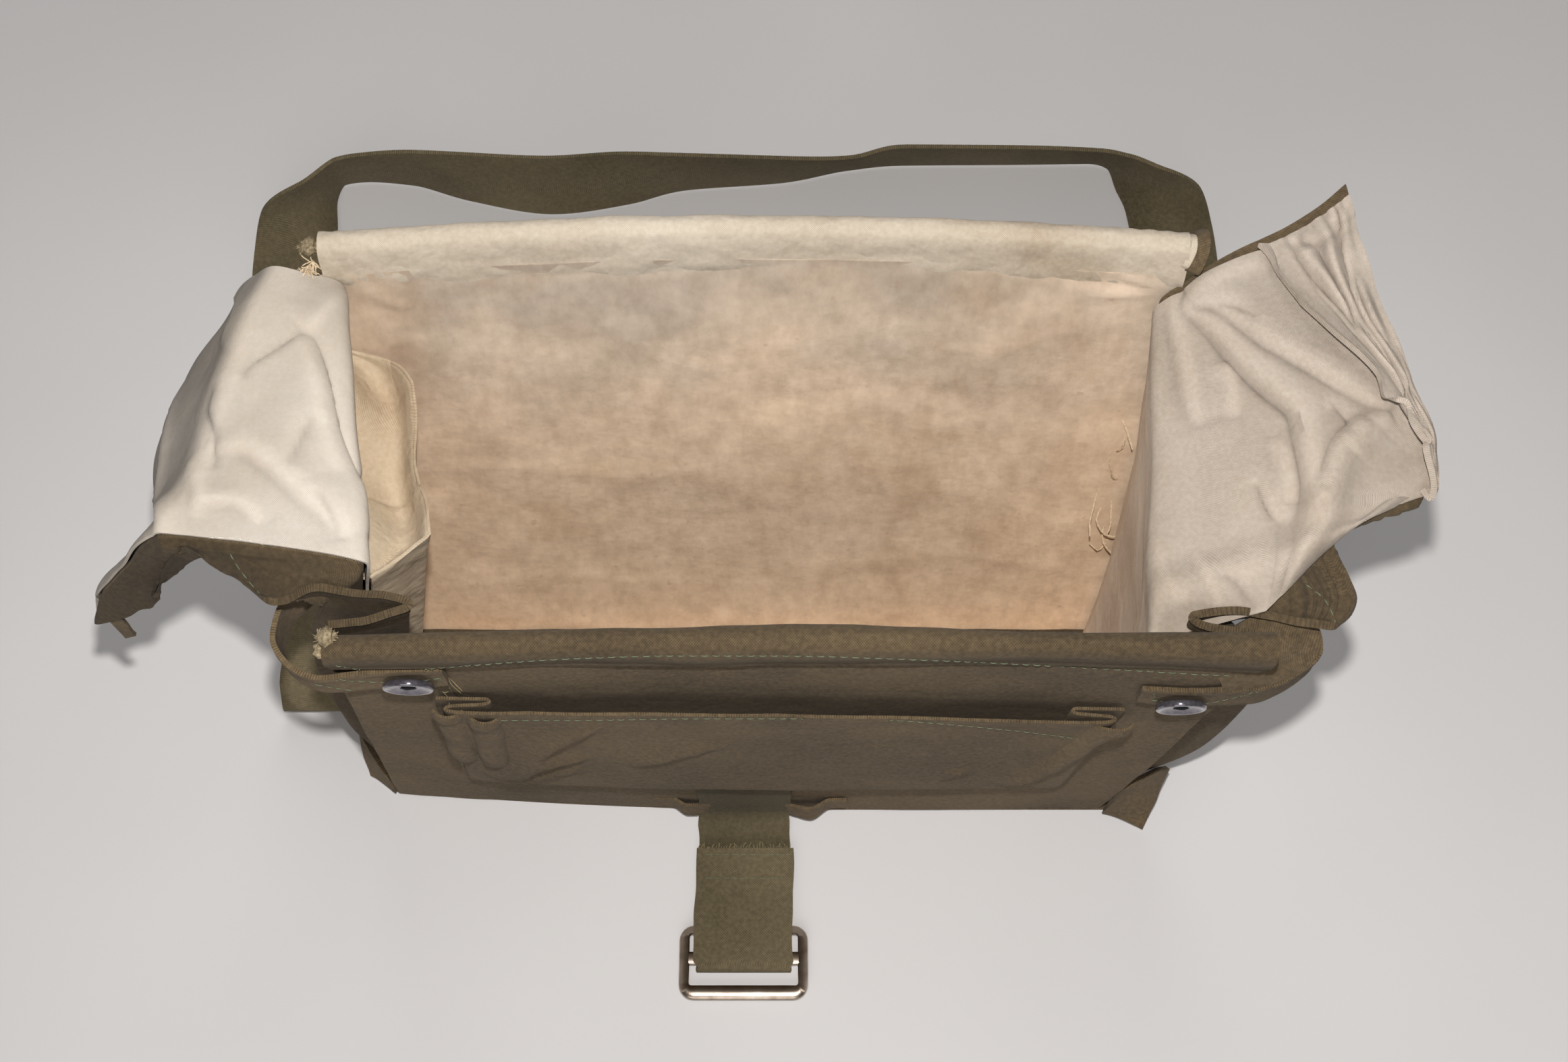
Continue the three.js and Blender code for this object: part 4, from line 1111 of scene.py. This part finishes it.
def pocket_section():
    """The pocket's section at its mouth: x and distance out from the wall."""
    left = [(POCKET["left"] + POCKET["pleat"] * x, out) for x, out in PLEAT_SECTION]
    right = [(POCKET["right"] - POCKET["pleat"] * x, out) for x, out in reversed(PLEAT_SECTION)]
    middle = []
    for share in (0.2, 0.4, 0.6, 0.8):
        x = mix(POCKET["left"] + 24, POCKET["right"] - 24, share)
        middle.append((x, POCKET["depth"] + 1.5 * math.sin(math.pi * share)))
    front = curve([left[-1], *middle, right[0]], 16)[1:-1]
    return np.concatenate([curve(left, 6), front, curve(right, 6)])


def front_pocket():
    section = pocket_section()
    x, out = section[:, :1], section[:, 1:]
    share = np.linspace(0, 1, 44)[None, :]
    along = (x - POCKET["left"]) / (POCKET["right"] - POCKET["left"])
    mouth = POCKET["high"] + POCKET["arch"] * np.sin(math.pi * along) + POCKET["tilt"] * along
    z = mix(POCKET["low"], mouth, share)
    shut = POCKET["seam"] + (out - POCKET["seam"]) * np.minimum(1, 0.55 + 0.45 * np.sqrt(share))
    lean = x + 14 * (z / FRONT["height"]) - 8
    grid = grid_of(lean, front_y(lean, z) - 0.8 - shut, z)
    grid = creased(grid, POCKET_FOLDS, -1 if normals_of(grid)[80, 20, 1] > 0 else 1, strength=1.6)
    grid[..., 1] -= np.abs(ripple(grid, size=40, height=0.8, seed=41))
    thick = POCKET["thick"] + 0.5 * bell(share, 0.96, 0.03) + 0 * out
    cloth("front_patch_pocket", grid, thick, OLIVE, "canvas", "front_pocket")
    return grid


# Corner tabs with their snaps: x, y and the lower and upper edge of each step
LEFT_TAB_ROWS = [
    (-142.6, -34, 190, 205), (-149, -41, 189, 204.5), (-150.5, -50, 188, 203),
    (-145, -58.6, 186, 200.5), (-135, -62.4, 184.5, 199), (-122, -60.9, 183.5, 199.5),
    (-108, -60.1, 183, 200), (-96, -60.0, 185, 200.5),
]
RIGHT_TAB_ROWS = [
    (172, -41.5, 186, 200), (184, -47.5, 187, 202), (185, -53, 184, 199), (178, -58.5, 177, 193),
    (168, -61, 171, 187), (156, -60.6, 168, 184), (144, -60.2, 166, 182), (130, -59.8, 169, 183),
]


def tab_grid(rows):
    sections = [[(x, y + 1.3 * (1 - share), mix(low, high, share)) for share in (0, 0.5, 1)]
                for x, y, low, high in rows]
    grid = loft(sections, 10, 8)
    hem = np.linspace(0, 1, grid.shape[1])[None, :]
    fold = 0.5 * bell(hem, 0.12, 0.08) + 0.5 * bell(hem, 0.88, 0.08)
    grid[..., 1] -= fold * 0.6 + 0.3 * np.abs(ripple(grid, size=12, height=1.0, seed=50))
    return grid


LEFT_TAB = tab_grid(LEFT_TAB_ROWS)
RIGHT_TAB = tab_grid(RIGHT_TAB_ROWS)


# Cloth that closes the right front corner: its inner line on the wall and its outer line on the tab
CORNER_INNER = [(164, -44, 208), (156, -48, 206), (150, -52, 204), (150, -55, 200), (152, -57.5, 192)]
CORNER_OUTER = [(184, -47, 201), (185, -53, 198.5), (178, -58.5, 192.5), (168, -60.6, 186.5),
                (156, -60.9, 182)]


def corner_cloth():
    sections = []
    for inner, outer in zip(CORNER_INNER, CORNER_OUTER):
        middle = mix(np.array(inner, float), np.array(outer, float), 0.5) + [0, 0, 2.5]
        sections.append([inner, middle, outer])
    grid = loft(sections, 10, 10)
    grid[..., 2] += ripple(grid, size=7, height=2.0, seed=72)
    cloth("right_corner_cloth", grid, CANVAS, OLIVE, "canvas")


# Pleats of the front pocket: left and right side at the top and the bottom, and their heights
PLEATS = [
    {"top": (-104, -94), "bottom": (-107, -98), "heights": (100, 167), "out": 9.5},
    {"top": (-93, -81), "bottom": (-97, -86), "heights": (98, 165), "out": 11.0},
    {"top": (118, 131), "bottom": (102, 112), "heights": (92, 156), "out": 10.5},
]
PLEAT_SEAT = 5.5


def pleats():
    for number, pleat in enumerate(PLEATS):
        up = np.linspace(0, 1, 50)[None, :]
        across = np.linspace(0, 1, 18)[:, None]
        z = mix(*pleat["heights"], up)
        left, right = (mix(low, high, up) for low, high in zip(pleat["bottom"], pleat["top"]))
        x = mix(left, right, across)
        round_off = np.sin(math.pi * np.clip(across, 0.02, 0.98)) ** 0.35
        foot = rise(up, 0, 0.08) ** 0.5
        y = front_y(x, z) - PLEAT_SEAT - (pleat["out"] - PLEAT_SEAT) * round_off * (0.6 + 0.4 * foot)
        grid = grid_of(x, y, z)
        grid[..., 1] -= 0.8 * bell(up, 0.93, 0.04) + ripple(grid, size=9, height=0.9, seed=80 + number)
        cloth(f"pocket_pleat_{number + 1}", grid, POCKET["thick"], OLIVE, "canvas")


def tabs():
    cloth("left_tab", LEFT_TAB, TAB_THICK, OLIVE, "canvas", "left_corner_tab")
    cloth("right_tab", RIGHT_TAB, TAB_THICK, OLIVE, "canvas", "right_corner_tab")


# Dished snap: share of its radius and distance out from the tab
SNAP_PROFILE = [
    (0.0, 0.0), (0.9, 0.0), (0.99, 0.4), (1.0, 0.9), (0.99, 1.9), (0.94, 2.35), (0.86, 2.4),
    (0.78, 2.1), (0.66, 1.6), (0.5, 1.2), (0.36, 1.05), (0.3, 1.3), (0.22, 1.35), (0.0, 1.3),
]

# Where the middle of each snap's back lies on its tab
LEFT_SNAP = (-108, -61.4, 191)
RIGHT_SNAP = (144, -61.5, 173)


def snap_dish():
    """Vertices and faces of a snap that faces the front, its back at the origin."""
    sides = SNAP_SIZE["sides"]
    profile = curve(SNAP_PROFILE, 3)
    turn = np.linspace(0, 2 * math.pi, sides + 1)[:-1]
    radius, out = profile[1:-1, :1] * SNAP_SIZE["radius"], profile[1:-1, 1:]
    ring = np.stack([radius * np.cos(turn), -out + 0 * turn, radius * np.sin(turn)], axis=-1)
    vertices = np.concatenate([ring.reshape(-1, 3), [[0, 0, 0], [0, -profile[-1, 1], 0]]])
    faces = grid_faces(len(ring), sides, closed=True)
    last = (len(ring) - 1) * sides
    back, front = len(vertices) - 2, len(vertices) - 1
    faces += [(back, k, (k + 1) % sides) for k in range(sides)]
    faces += [(front, last + (k + 1) % sides, last + k) for k in range(sides)]
    return vertices, faces


def snap(name, place, node):
    """A dished snap, tipped up a little, with a dark disc in its middle as painted shade in the socket."""
    vertices, faces = snap_dish()
    tilt = SNAP_SIZE["tilt"]
    turned = vertices.copy()
    turned[:, 1] = vertices[:, 1] * math.cos(tilt) - vertices[:, 2] * math.sin(tilt)
    turned[:, 2] = vertices[:, 1] * math.sin(tilt) + vertices[:, 2] * math.cos(tilt)
    piece = make_object(name, *outward(turned + place, faces), SNAP)
    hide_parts(node)
    socket = np.array(place) + [[0, -1.0, 0.2], [0, -1.75, 0.1], [0, -1.9, 0]]
    threads(name + "_socket", [(socket, SNAP_SIZE["socket"])], SOCKET_SHADE, sides=24)


# Folded cloth at the front corners of the base: top, front, outer and back corner
LEFT_EAR = [(-145.4, -36.4, 20), (-145.9, -35.4, 2.6), (-157, -28, 2.6), (-159.5, -16, 19)]
RIGHT_EAR = [(146.9, -45, 36), (143.4, -43.6, 2.6), (159, -51, 2.6), (167, -33, 26)]


def ear(name, points, node):
    top, front, outer, back = (np.array(point, float) for point in points)
    u = np.linspace(0, 1, 24)[:, None, None]
    v = np.linspace(0, 1, 24)[None, :, None]
    grid = mix(mix(top, front, v), mix(back, outer, v), u)
    grid[..., 2] += (5 * np.sin(math.pi * u) * (1 - 0.6 * v))[..., 0]
    grid = offset(grid, ripple(grid, size=10, height=0.7, seed=60))
    cloth(name, grid, EAR_THICK, OLIVE, "canvas", node)


# Keeper: share of its length and share of its loops' depth
KEEPER_BENDS = [
    (0, 0), (0.1, 0), (0.18, 0.7), (0.26, 0.5), (0.36, 0), (0.5, 0), (0.64, 0), (0.74, 0.6), (0.82, 1),
    (0.92, 0), (1, 0),
]

# Closing strap, from the wall round the buckle's bar and back over itself: y and z
STRAP_PATH = [
    (-46.9, 42), (-45.6, 24), (-45.3, 10), (-49, 3.2), (-57, 0.9), (-82, 0.9), (-105.4, 0.9), (-108.4, 1.5),
    (-109.4, 3.1), (-108.4, 4.8), (-105.4, 5.4), (-90, 5.6), (-76, 4.6), (STRAP["end"], STRAP["end_height"]),
]


def keeper():
    bends = curve(KEEPER_BENDS, 8)
    share, out = bends[:, :1], bends[:, 1:]
    up = np.linspace(0, 1, 14)[None, :]
    x = mix(KEEPER["left"], KEEPER["right"], share)
    z = mix(KEEPER["low"], KEEPER["high"], up)
    y = front_y(x, z) - 1.7 - KEEPER["loop"] * out * (1 - 0.25 * up)
    grid = grid_of(x, y, z)
    grid[..., 1] -= 0.25 * bell(up, 0.15, 0.1) + 0.25 * bell(up, 0.85, 0.1)
    grid[..., 2] -= KEEPER["sag"] * np.sin(math.pi * share) ** 2
    cloth("keeper_strip", grid, KEEPER["thick"], OLIVE, "canvas", "strap_keeper")


def strap_grid():
    path = curve(STRAP_PATH, 12)
    across = np.linspace(-0.5, 0.5, 27)[None, :]
    along = np.linspace(0, 1, len(path))[:, None]
    spread = 1 + 0.008 * np.sin(along * 60) + 0.06 * rise(along, 0.7, 0.75)
    x = STRAP["centre"] + across * STRAP["width"] * spread + 0.35 * np.sin(along * 21)
    return grid_of(x, path[:, :1], path[:, 1:])


STRAP_GRID = strap_grid()


def closing_strap():
    """The strap, with painted shadow from the front wall on its single layer, darker near the wall."""
    along = np.linspace(0, 1, len(STRAP_GRID))[:, None] + 0 * STRAP_GRID[..., 0]
    # Painted shadow of the front wall on the strap's single layer, deepest near the wall
    painted_strap_shadow = -0.3 * rise(0.42 - along, 0, 0.06) - 0.2 * rise(0.22 - along, 0, 0.1)
    cloth("closing_strap_canvas", STRAP_GRID, STRAP["thick"], STRAP_OLIVE, "canvas", "closing_strap",
          painted_light=painted_strap_shadow)


def rounded_ring(left, right, low, high, radius, steps):
    """Outline of a rectangle with rounded corners."""
    corners = [(right - radius, low + radius, -90), (right - radius, high - radius, 0),
               (left + radius, high - radius, 90), (left + radius, low + radius, 180)]
    points = []
    for x, y, start in corners:
        for k in range(steps + 1):
            turn = math.radians(start + 90 * k / steps)
            points.append((x + radius * math.cos(turn), y + radius * math.sin(turn)))
    return points


def flat_bar(line, width, thick):
    """Pressed bar with rounded edges along a line of places on a level plane."""
    sides = 16
    line = np.asarray(line, float)
    way = np.gradient(line, axis=0)
    way /= np.linalg.norm(way, axis=1, keepdims=True)
    side = np.stack([way[:, 1], -way[:, 0], 0 * way[:, 0]], axis=1)
    turn = np.linspace(0, 2 * math.pi, sides + 1)[:-1]
    round_x = np.sign(np.cos(turn)) * np.abs(np.cos(turn)) ** 0.6
    round_z = np.sign(np.sin(turn)) * np.abs(np.sin(turn)) ** 0.6
    ring = line[:, None] + side[:, None] * (round_x * width / 2)[None, :, None]
    ring[..., 2] += round_z * thick / 2
    last = (len(line) - 1) * sides
    faces = grid_faces(len(line), sides, closed=True)
    faces += [tuple(range(sides - 1, -1, -1)), tuple(range(last, last + sides))]
    return ring.reshape(-1, 3), faces


# Section of the buckle's ring: share of the way from its outer to its inner outline, and share of its height
RING_SECTION = [(0, 0.2), (0, 0.75), (0.1, 1), (0.9, 1), (1, 0.8), (1, 0.2), (0.9, 0), (0.1, 0)]


def stamped_ring(outer, inner, low, thick):
    """Flat ring between two outlines, with softened edges."""
    outer, inner = np.array(outer), np.array(inner)
    rings = []
    for share, up in RING_SECTION:
        rings.append(np.column_stack([mix(outer, inner, share), np.full(len(outer), low + up * thick)]))
    sides = len(rings)
    last = (len(outer) - 1) * sides
    faces = grid_faces(len(outer), sides, closed=True)
    faces += [(last + j, j, (j + 1) % sides, last + (j + 1) % sides) for j in range(sides)]
    return np.stack(rings, axis=1).reshape(-1, 3), faces


def buckle():
    left = STRAP["centre"] - BUCKLE["width"] / 2
    right = STRAP["centre"] + BUCKLE["width"] / 2
    level = BUCKLE["low"] + BUCKLE["thick"] / 2
    outer = rounded_ring(left, right, BUCKLE["front"], BUCKLE["back"], BUCKLE["corner"], 6)
    inner = rounded_ring(left + BUCKLE["side_bar"], right - BUCKLE["side_bar"],
                         BUCKLE["front"] + BUCKLE["front_bar"], BUCKLE["back"] - BUCKLE["back_bar"], 1.0, 6)
    middle = [(x, BUCKLE["middle"], level) for x in np.linspace(left + 3.4, right - 3.4, 12)]
    vertices, faces = outward(*stamped_ring(outer, inner, BUCKLE["low"], BUCKLE["thick"]))
    more, quads = outward(*flat_bar(middle, BUCKLE["middle_bar"], BUCKLE["thick"] * 0.92))
    faces = faces + [tuple(k + len(vertices) for k in face) for face in quads]
    piece = make_object("slide_buckle", np.concatenate([vertices, more]), faces, STEEL)
    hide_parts("buckle")


# Shoulder strap from left to right: x, y and z of its inner edge, and the way its width points
SHOULDER_ROWS = [
    (-143.4, 2, 160, (0, 1, 0)), (-146.4, 2, 128, (0, 1, 0)), (-151, 3, 95, (-0.2, 0.97, 0)),
    (-154, 4, 52, (-0.75, 0.66, 0)), (-157, 3, 18, (-1, 0.06, 0)), (-157, -1, 8, (-1, 0, 0)),
    (-157, 3, 2.2, (-1, 0, 0)), (-157, 12, 1.0, (-1, 0, 0)), (-165, 60, 1.0, (-1, 0.06, 0)),
    (-176, 120, 1.0, (-1, 0.1, 0)), (-189, 180, 1.0, (-1, 0.1, 0)),
    (-195.5, 216, 1.2, (-1, 0.02, 0.05)), (-197, 240, 1.4, (-0.75, -0.12, 0.65)),
    (-199, 256, 1.4, (-0.22, -0.35, 0.91)), (-196, 267, 1.4, (0.12, -0.3, 0.94)),
    (-183, 269, 1.4, (0.05, -0.3, 0.95)), (-163, 267, 1.4, (0, -0.22, 0.97)),
    (-135, 258, 1.4, (0, -0.03, 1)), (-96, 250.5, 1.4, (0, 0.12, 0.99)), (-61, 256, 1.4, (0, 0.03, 1)),
    (-35, 264, 1.4, (0, -0.19, 0.98)), (13, 268.6, 1.4, (0, -0.33, 0.94)),
    (43, 275.5, 1.4, (0, -0.46, 0.88)), (69, 278.5, 1.4, (0, -0.4, 0.91)),
    (125, 279, 1.4, (0, -0.42, 0.9)), (158, 279.5, 1.4, (0, -0.46, 0.88)),
    (168, 276, 1.4, (0.1, -0.45, 0.88)), (171, 264, 1.3, (0.45, -0.3, 0.84)),
    (174.4, 252, 1.2, (0.79, -0.07, 0.61)), (175.6, 238, 1.0, (0.99, 0.03, 0.12)),
    (177, 222, 1.0, (1, 0, 0)), (174, 170, 1.0, (1, 0, 0)), (167, 108, 1.0, (1, 0, 0)),
    (162, 66, 6, (1, 0.1, 0.05)), (156, 38, 34, (0.75, 0.66, 0)), (152.5, 14, 78, (0.2, 0.97, 0)),
    (151.2, 2, 118, (0, 1, 0)), (148.6, 2, 152, (0, 1, 0)),
]


def shoulder_strap():
    sections = []
    for x, y, z, way in SHOULDER_ROWS:
        across = np.array(way, float) / np.linalg.norm(way)
        sections.append([np.array([x, y, z]) + share * SHOULDER["width"] * across for share in (0, 0.5, 1)])
    grid = loft(sections, 9, 7)
    cloth("shoulder_strap_canvas", grid, SHOULDER["thick"], STRAP_OLIVE, "canvas", "shoulder_strap")


def base():
    x = np.linspace(-BASE["half"], BASE["half"], 60)[:, None]
    y = mix(front_foot(x) - 0.8, BASE["back"], np.linspace(0, 1, 24)[None, :])
    cloth("base_canvas", grid_of(x, y, BASE["thick"] / 2), BASE["thick"], OLIVE, "canvas", "base_panel")
    x = np.linspace(BASE_COTTON["left"], BASE_COTTON["right"], 50)[:, None]
    y = np.linspace(BASE_COTTON["front"], BASE_COTTON["back"], 20)[None, :]
    cloth("base_cotton", grid_of(x, y, BASE_COTTON["level"]), LINING, TAN, "lining", "base_lining")


def flap_tape():
    hem = LEFT_BASE[:, -1]
    top = np.array([hem[FLAP_ROW + int(place * ROW_STEPS / 2)] for place in (0.86, 0.93, 1.0, 1.07, 1.14)])
    down = np.linspace(0, 1, 12)[None, :, None]
    grid = top[:, None] + down * np.array([0.5, 1.0, -TAPE["drop"]]) - np.array([0, 0, 0.8])
    grid = offset(grid, ripple(grid, size=7, height=0.6, seed=70))
    cloth("flap_tape", grid, TAPE["thick"], OLIVE, "canvas", "flap_tab")


# Green stitch lines in the picture, by the surface that they lie on
GREEN_STITCHES = [
    ("front", [(213, 424), (245, 428), (300, 424), (360, 420), (430, 418), (500, 418), (600, 421),
               (700, 426), (770, 430), (797, 431)]),
    ("pocket", [(318, 459), (370, 459), (450, 458), (540, 458), (640, 465), (696, 472)]),
    ("pocket", [(289, 456), (291, 470), (296, 490)]),
    ("pocket", [(311, 462), (312, 476), (312, 489)]),
    ("pocket", [(706, 478), (690, 492), (672, 503)]),
    ("strap", [(449, 545), (476, 545), (503, 545)]),
    ("strap", [(449, 560), (476, 560), (503, 560)]),
    ("left_side", [(146, 352), (152, 362), (168, 382), (178, 394)]),
    ("right_side", [(832, 372), (846, 384), (852, 400), (838, 414)]),
    ("left_tab", [(196, 428), (225, 434), (255, 435), (282, 432)]),
    ("left_tab", [(200, 436), (226, 440), (252, 441)]),
    ("left_tab", [(281, 432), (277, 440)]),
    ("right_tab", [(733, 446), (760, 449), (790, 444), (812, 436)]),
    ("right_tab", [(735, 437), (737, 446)]),
]

# White stitch line along the edge of the left lining
WHITE_STITCHES = [(112, 344), (145, 343), (190, 354), (226, 368)]


def stitches(pocket_grid):
    trees = {
        "front": FRONT_TREE,
        "pocket": both_sides(pocket_grid, CANVAS),
        "strap": both_sides(STRAP_GRID, STRAP["thick"]),
        "left_side": both_sides(LEFT_BASE, CANVAS),
        "right_side": both_sides(RIGHT_BASE, CANVAS),
        "left_tab": both_sides(LEFT_TAB, TAB_THICK),
        "right_tab": both_sides(RIGHT_TAB, TAB_THICK),
    }
    green = []
    for surface, corners in GREEN_STITCHES:
        green += stitch_run(corners, trees[surface], pitch=3.6, radius=0.15)
    threads("green_stitches", green, GREEN_THREAD, sides=4)
    white = stitch_run(WHITE_STITCHES, both_sides(LEFT_LINING_GRID, LINING), pitch=3.2, radius=0.16)
    threads("white_stitches", white, WHITE_THREAD, sides=4)


# Places in the picture where thread ends hang loose from the lining's right seam and from the canvas
SEAM_ENDS = [(716, 268), (717, 278), (708, 288), (700, 312), (708, 318), (702, 324), (704, 336), (706, 344)]
CANVAS_ENDS = [(286, 432), (284, 437), (282, 441), (211, 404), (214, 400)]


def seam_ends(lining):
    """Pale thread ends that hang from the right seam of the back lining."""
    ends = []
    for place in cast(SEAM_ENDS, both_sides(lining, LINING)):
        way = np.array([RNG.normal(-0.1, 0.4), -0.5, RNG.normal(-0.6, 0.4)])
        ends.append(loose_thread(place, way, length=RNG.uniform(11, 22), curl=1.7, radius=0.34))
    threads("seam_ends", ends, TAN_THREAD)


def canvas_ends():
    """Thread ends at the front wall's left corner and along the raw end of the closing strap."""
    ends = []
    for place in cast(CANVAS_ENDS, FRONT_TREE):
        for _ in range(2):
            way = np.array([RNG.normal(0.3, 0.6), -0.8, RNG.normal(0.2, 0.6)])
            ends.append(loose_thread(place, way, length=RNG.uniform(4, 8), curl=1.8, radius=0.15))
    for share in np.linspace(-0.5, 0.5, 34):
        start = np.array([STRAP["centre"] + share * STRAP["width"], STRAP["end"], STRAP["end_height"]])
        way = (RNG.normal(0, 0.5), 1.0, 0.2)
        ends.append(loose_thread(start, way, length=RNG.uniform(1, 3), curl=0.8, radius=0.2))
    threads("canvas_ends", ends, OLIVE_THREAD)


# Floor, light and camera
FLOOR = {"reach": 12.0, "drop": 0.0002}
LIGHT_AIM = (13, 20, 100)
LIGHTS = [
    {"name": "key", "place": (16, -250, 836), "power": 5.6, "size": 0.02, "colour": (1.0, 0.975, 0.945)},
    {"name": "fill", "place": (-150, -1300, 1000), "power": 8.5, "size": 1.2, "colour": (1.0, 0.98, 0.96)},
    {"name": "back", "place": (0, 1500, 1400), "power": 9.0, "size": 1.2, "colour": (1.0, 0.99, 0.98)},
]
WORLD = {"colour": (1.0, 0.98, 0.97, 1), "strength": 0.1}


def floor():
    mesh = bpy.data.meshes.new("floor")
    corners = [(-1, -1), (1, -1), (1, 1), (-1, 1)]
    mesh.from_pydata([(FLOOR["reach"] * x, FLOOR["reach"] * y, 0) for x, y in corners], [], [(0, 1, 2, 3)])
    look = Look("floor_grey", roughness=0.75, specular=0.2)
    colour = look.ramp(look.noise(260, detail=2), (0.3, srgb(205, 203, 203)), (0.7, srgb(212, 210, 210)))
    mesh.materials.append(look.finish(colour, look.bump(look.noise(3, detail=3), 0.05, 0.3)))
    piece = bpy.data.objects.new("floor", mesh)
    piece.location.z = -FLOOR["drop"]
    bpy.context.scene.collection.objects.link(piece)


def light(name, place, power, size, colour):
    """Round soft light that points at the bag."""
    lamp = bpy.data.lights.new(name, "AREA")
    lamp.shape = "DISK"
    lamp.energy = power
    lamp.size = size
    lamp.color = colour
    holder = bpy.data.objects.new(name, lamp)
    holder.location = np.array(place) * MM
    holder.rotation_euler = (Vector(LIGHT_AIM) - Vector(place)).to_track_quat("-Z", "Y").to_euler()
    bpy.context.scene.collection.objects.link(holder)


def lights():
    for row in LIGHTS:
        light(**row)
    world = bpy.data.worlds.new("studio")
    world.use_nodes = True
    background = world.node_tree.nodes["Background"]
    background.inputs["Color"].default_value = WORLD["colour"]
    background.inputs["Strength"].default_value = WORLD["strength"]
    bpy.context.scene.world = world
    bpy.context.scene.view_settings.view_transform = "Standard"


def camera():
    data = bpy.data.cameras.new("camera")
    data.sensor_width = CAMERA["sensor"]
    data.lens = CAMERA["lens"]
    holder = bpy.data.objects.new("camera", data)
    holder.location = np.array(CAMERA["place"]) * MM
    holder.rotation_euler = (math.radians(CAMERA["tilt"]), 0, 0)
    bpy.context.scene.collection.objects.link(holder)
    bpy.context.scene.camera = holder


def build():
    camera()
    lights()
    floor()
    base()
    front_wall()
    front_rope()
    lining = back_wall()
    lid_cotton()
    lid_canvas()
    back_rope()
    roll_ends()
    sides()
    right_flap_pocket()
    inner_pocket()
    pocket_grid = front_pocket()
    pleats()
    tabs()
    corner_cloth()
    snap("left_snap_dish", LEFT_SNAP, "left_snap")
    snap("right_snap_dish", RIGHT_SNAP, "right_snap")
    ear("left_ear", LEFT_EAR, "left_corner_ear")
    ear("right_ear", RIGHT_EAR, "right_corner_ear")
    keeper()
    closing_strap()
    buckle()
    shoulder_strap()
    flap_tape()
    stitches(pocket_grid)
    seam_ends(lining)
    canvas_ends()


build()
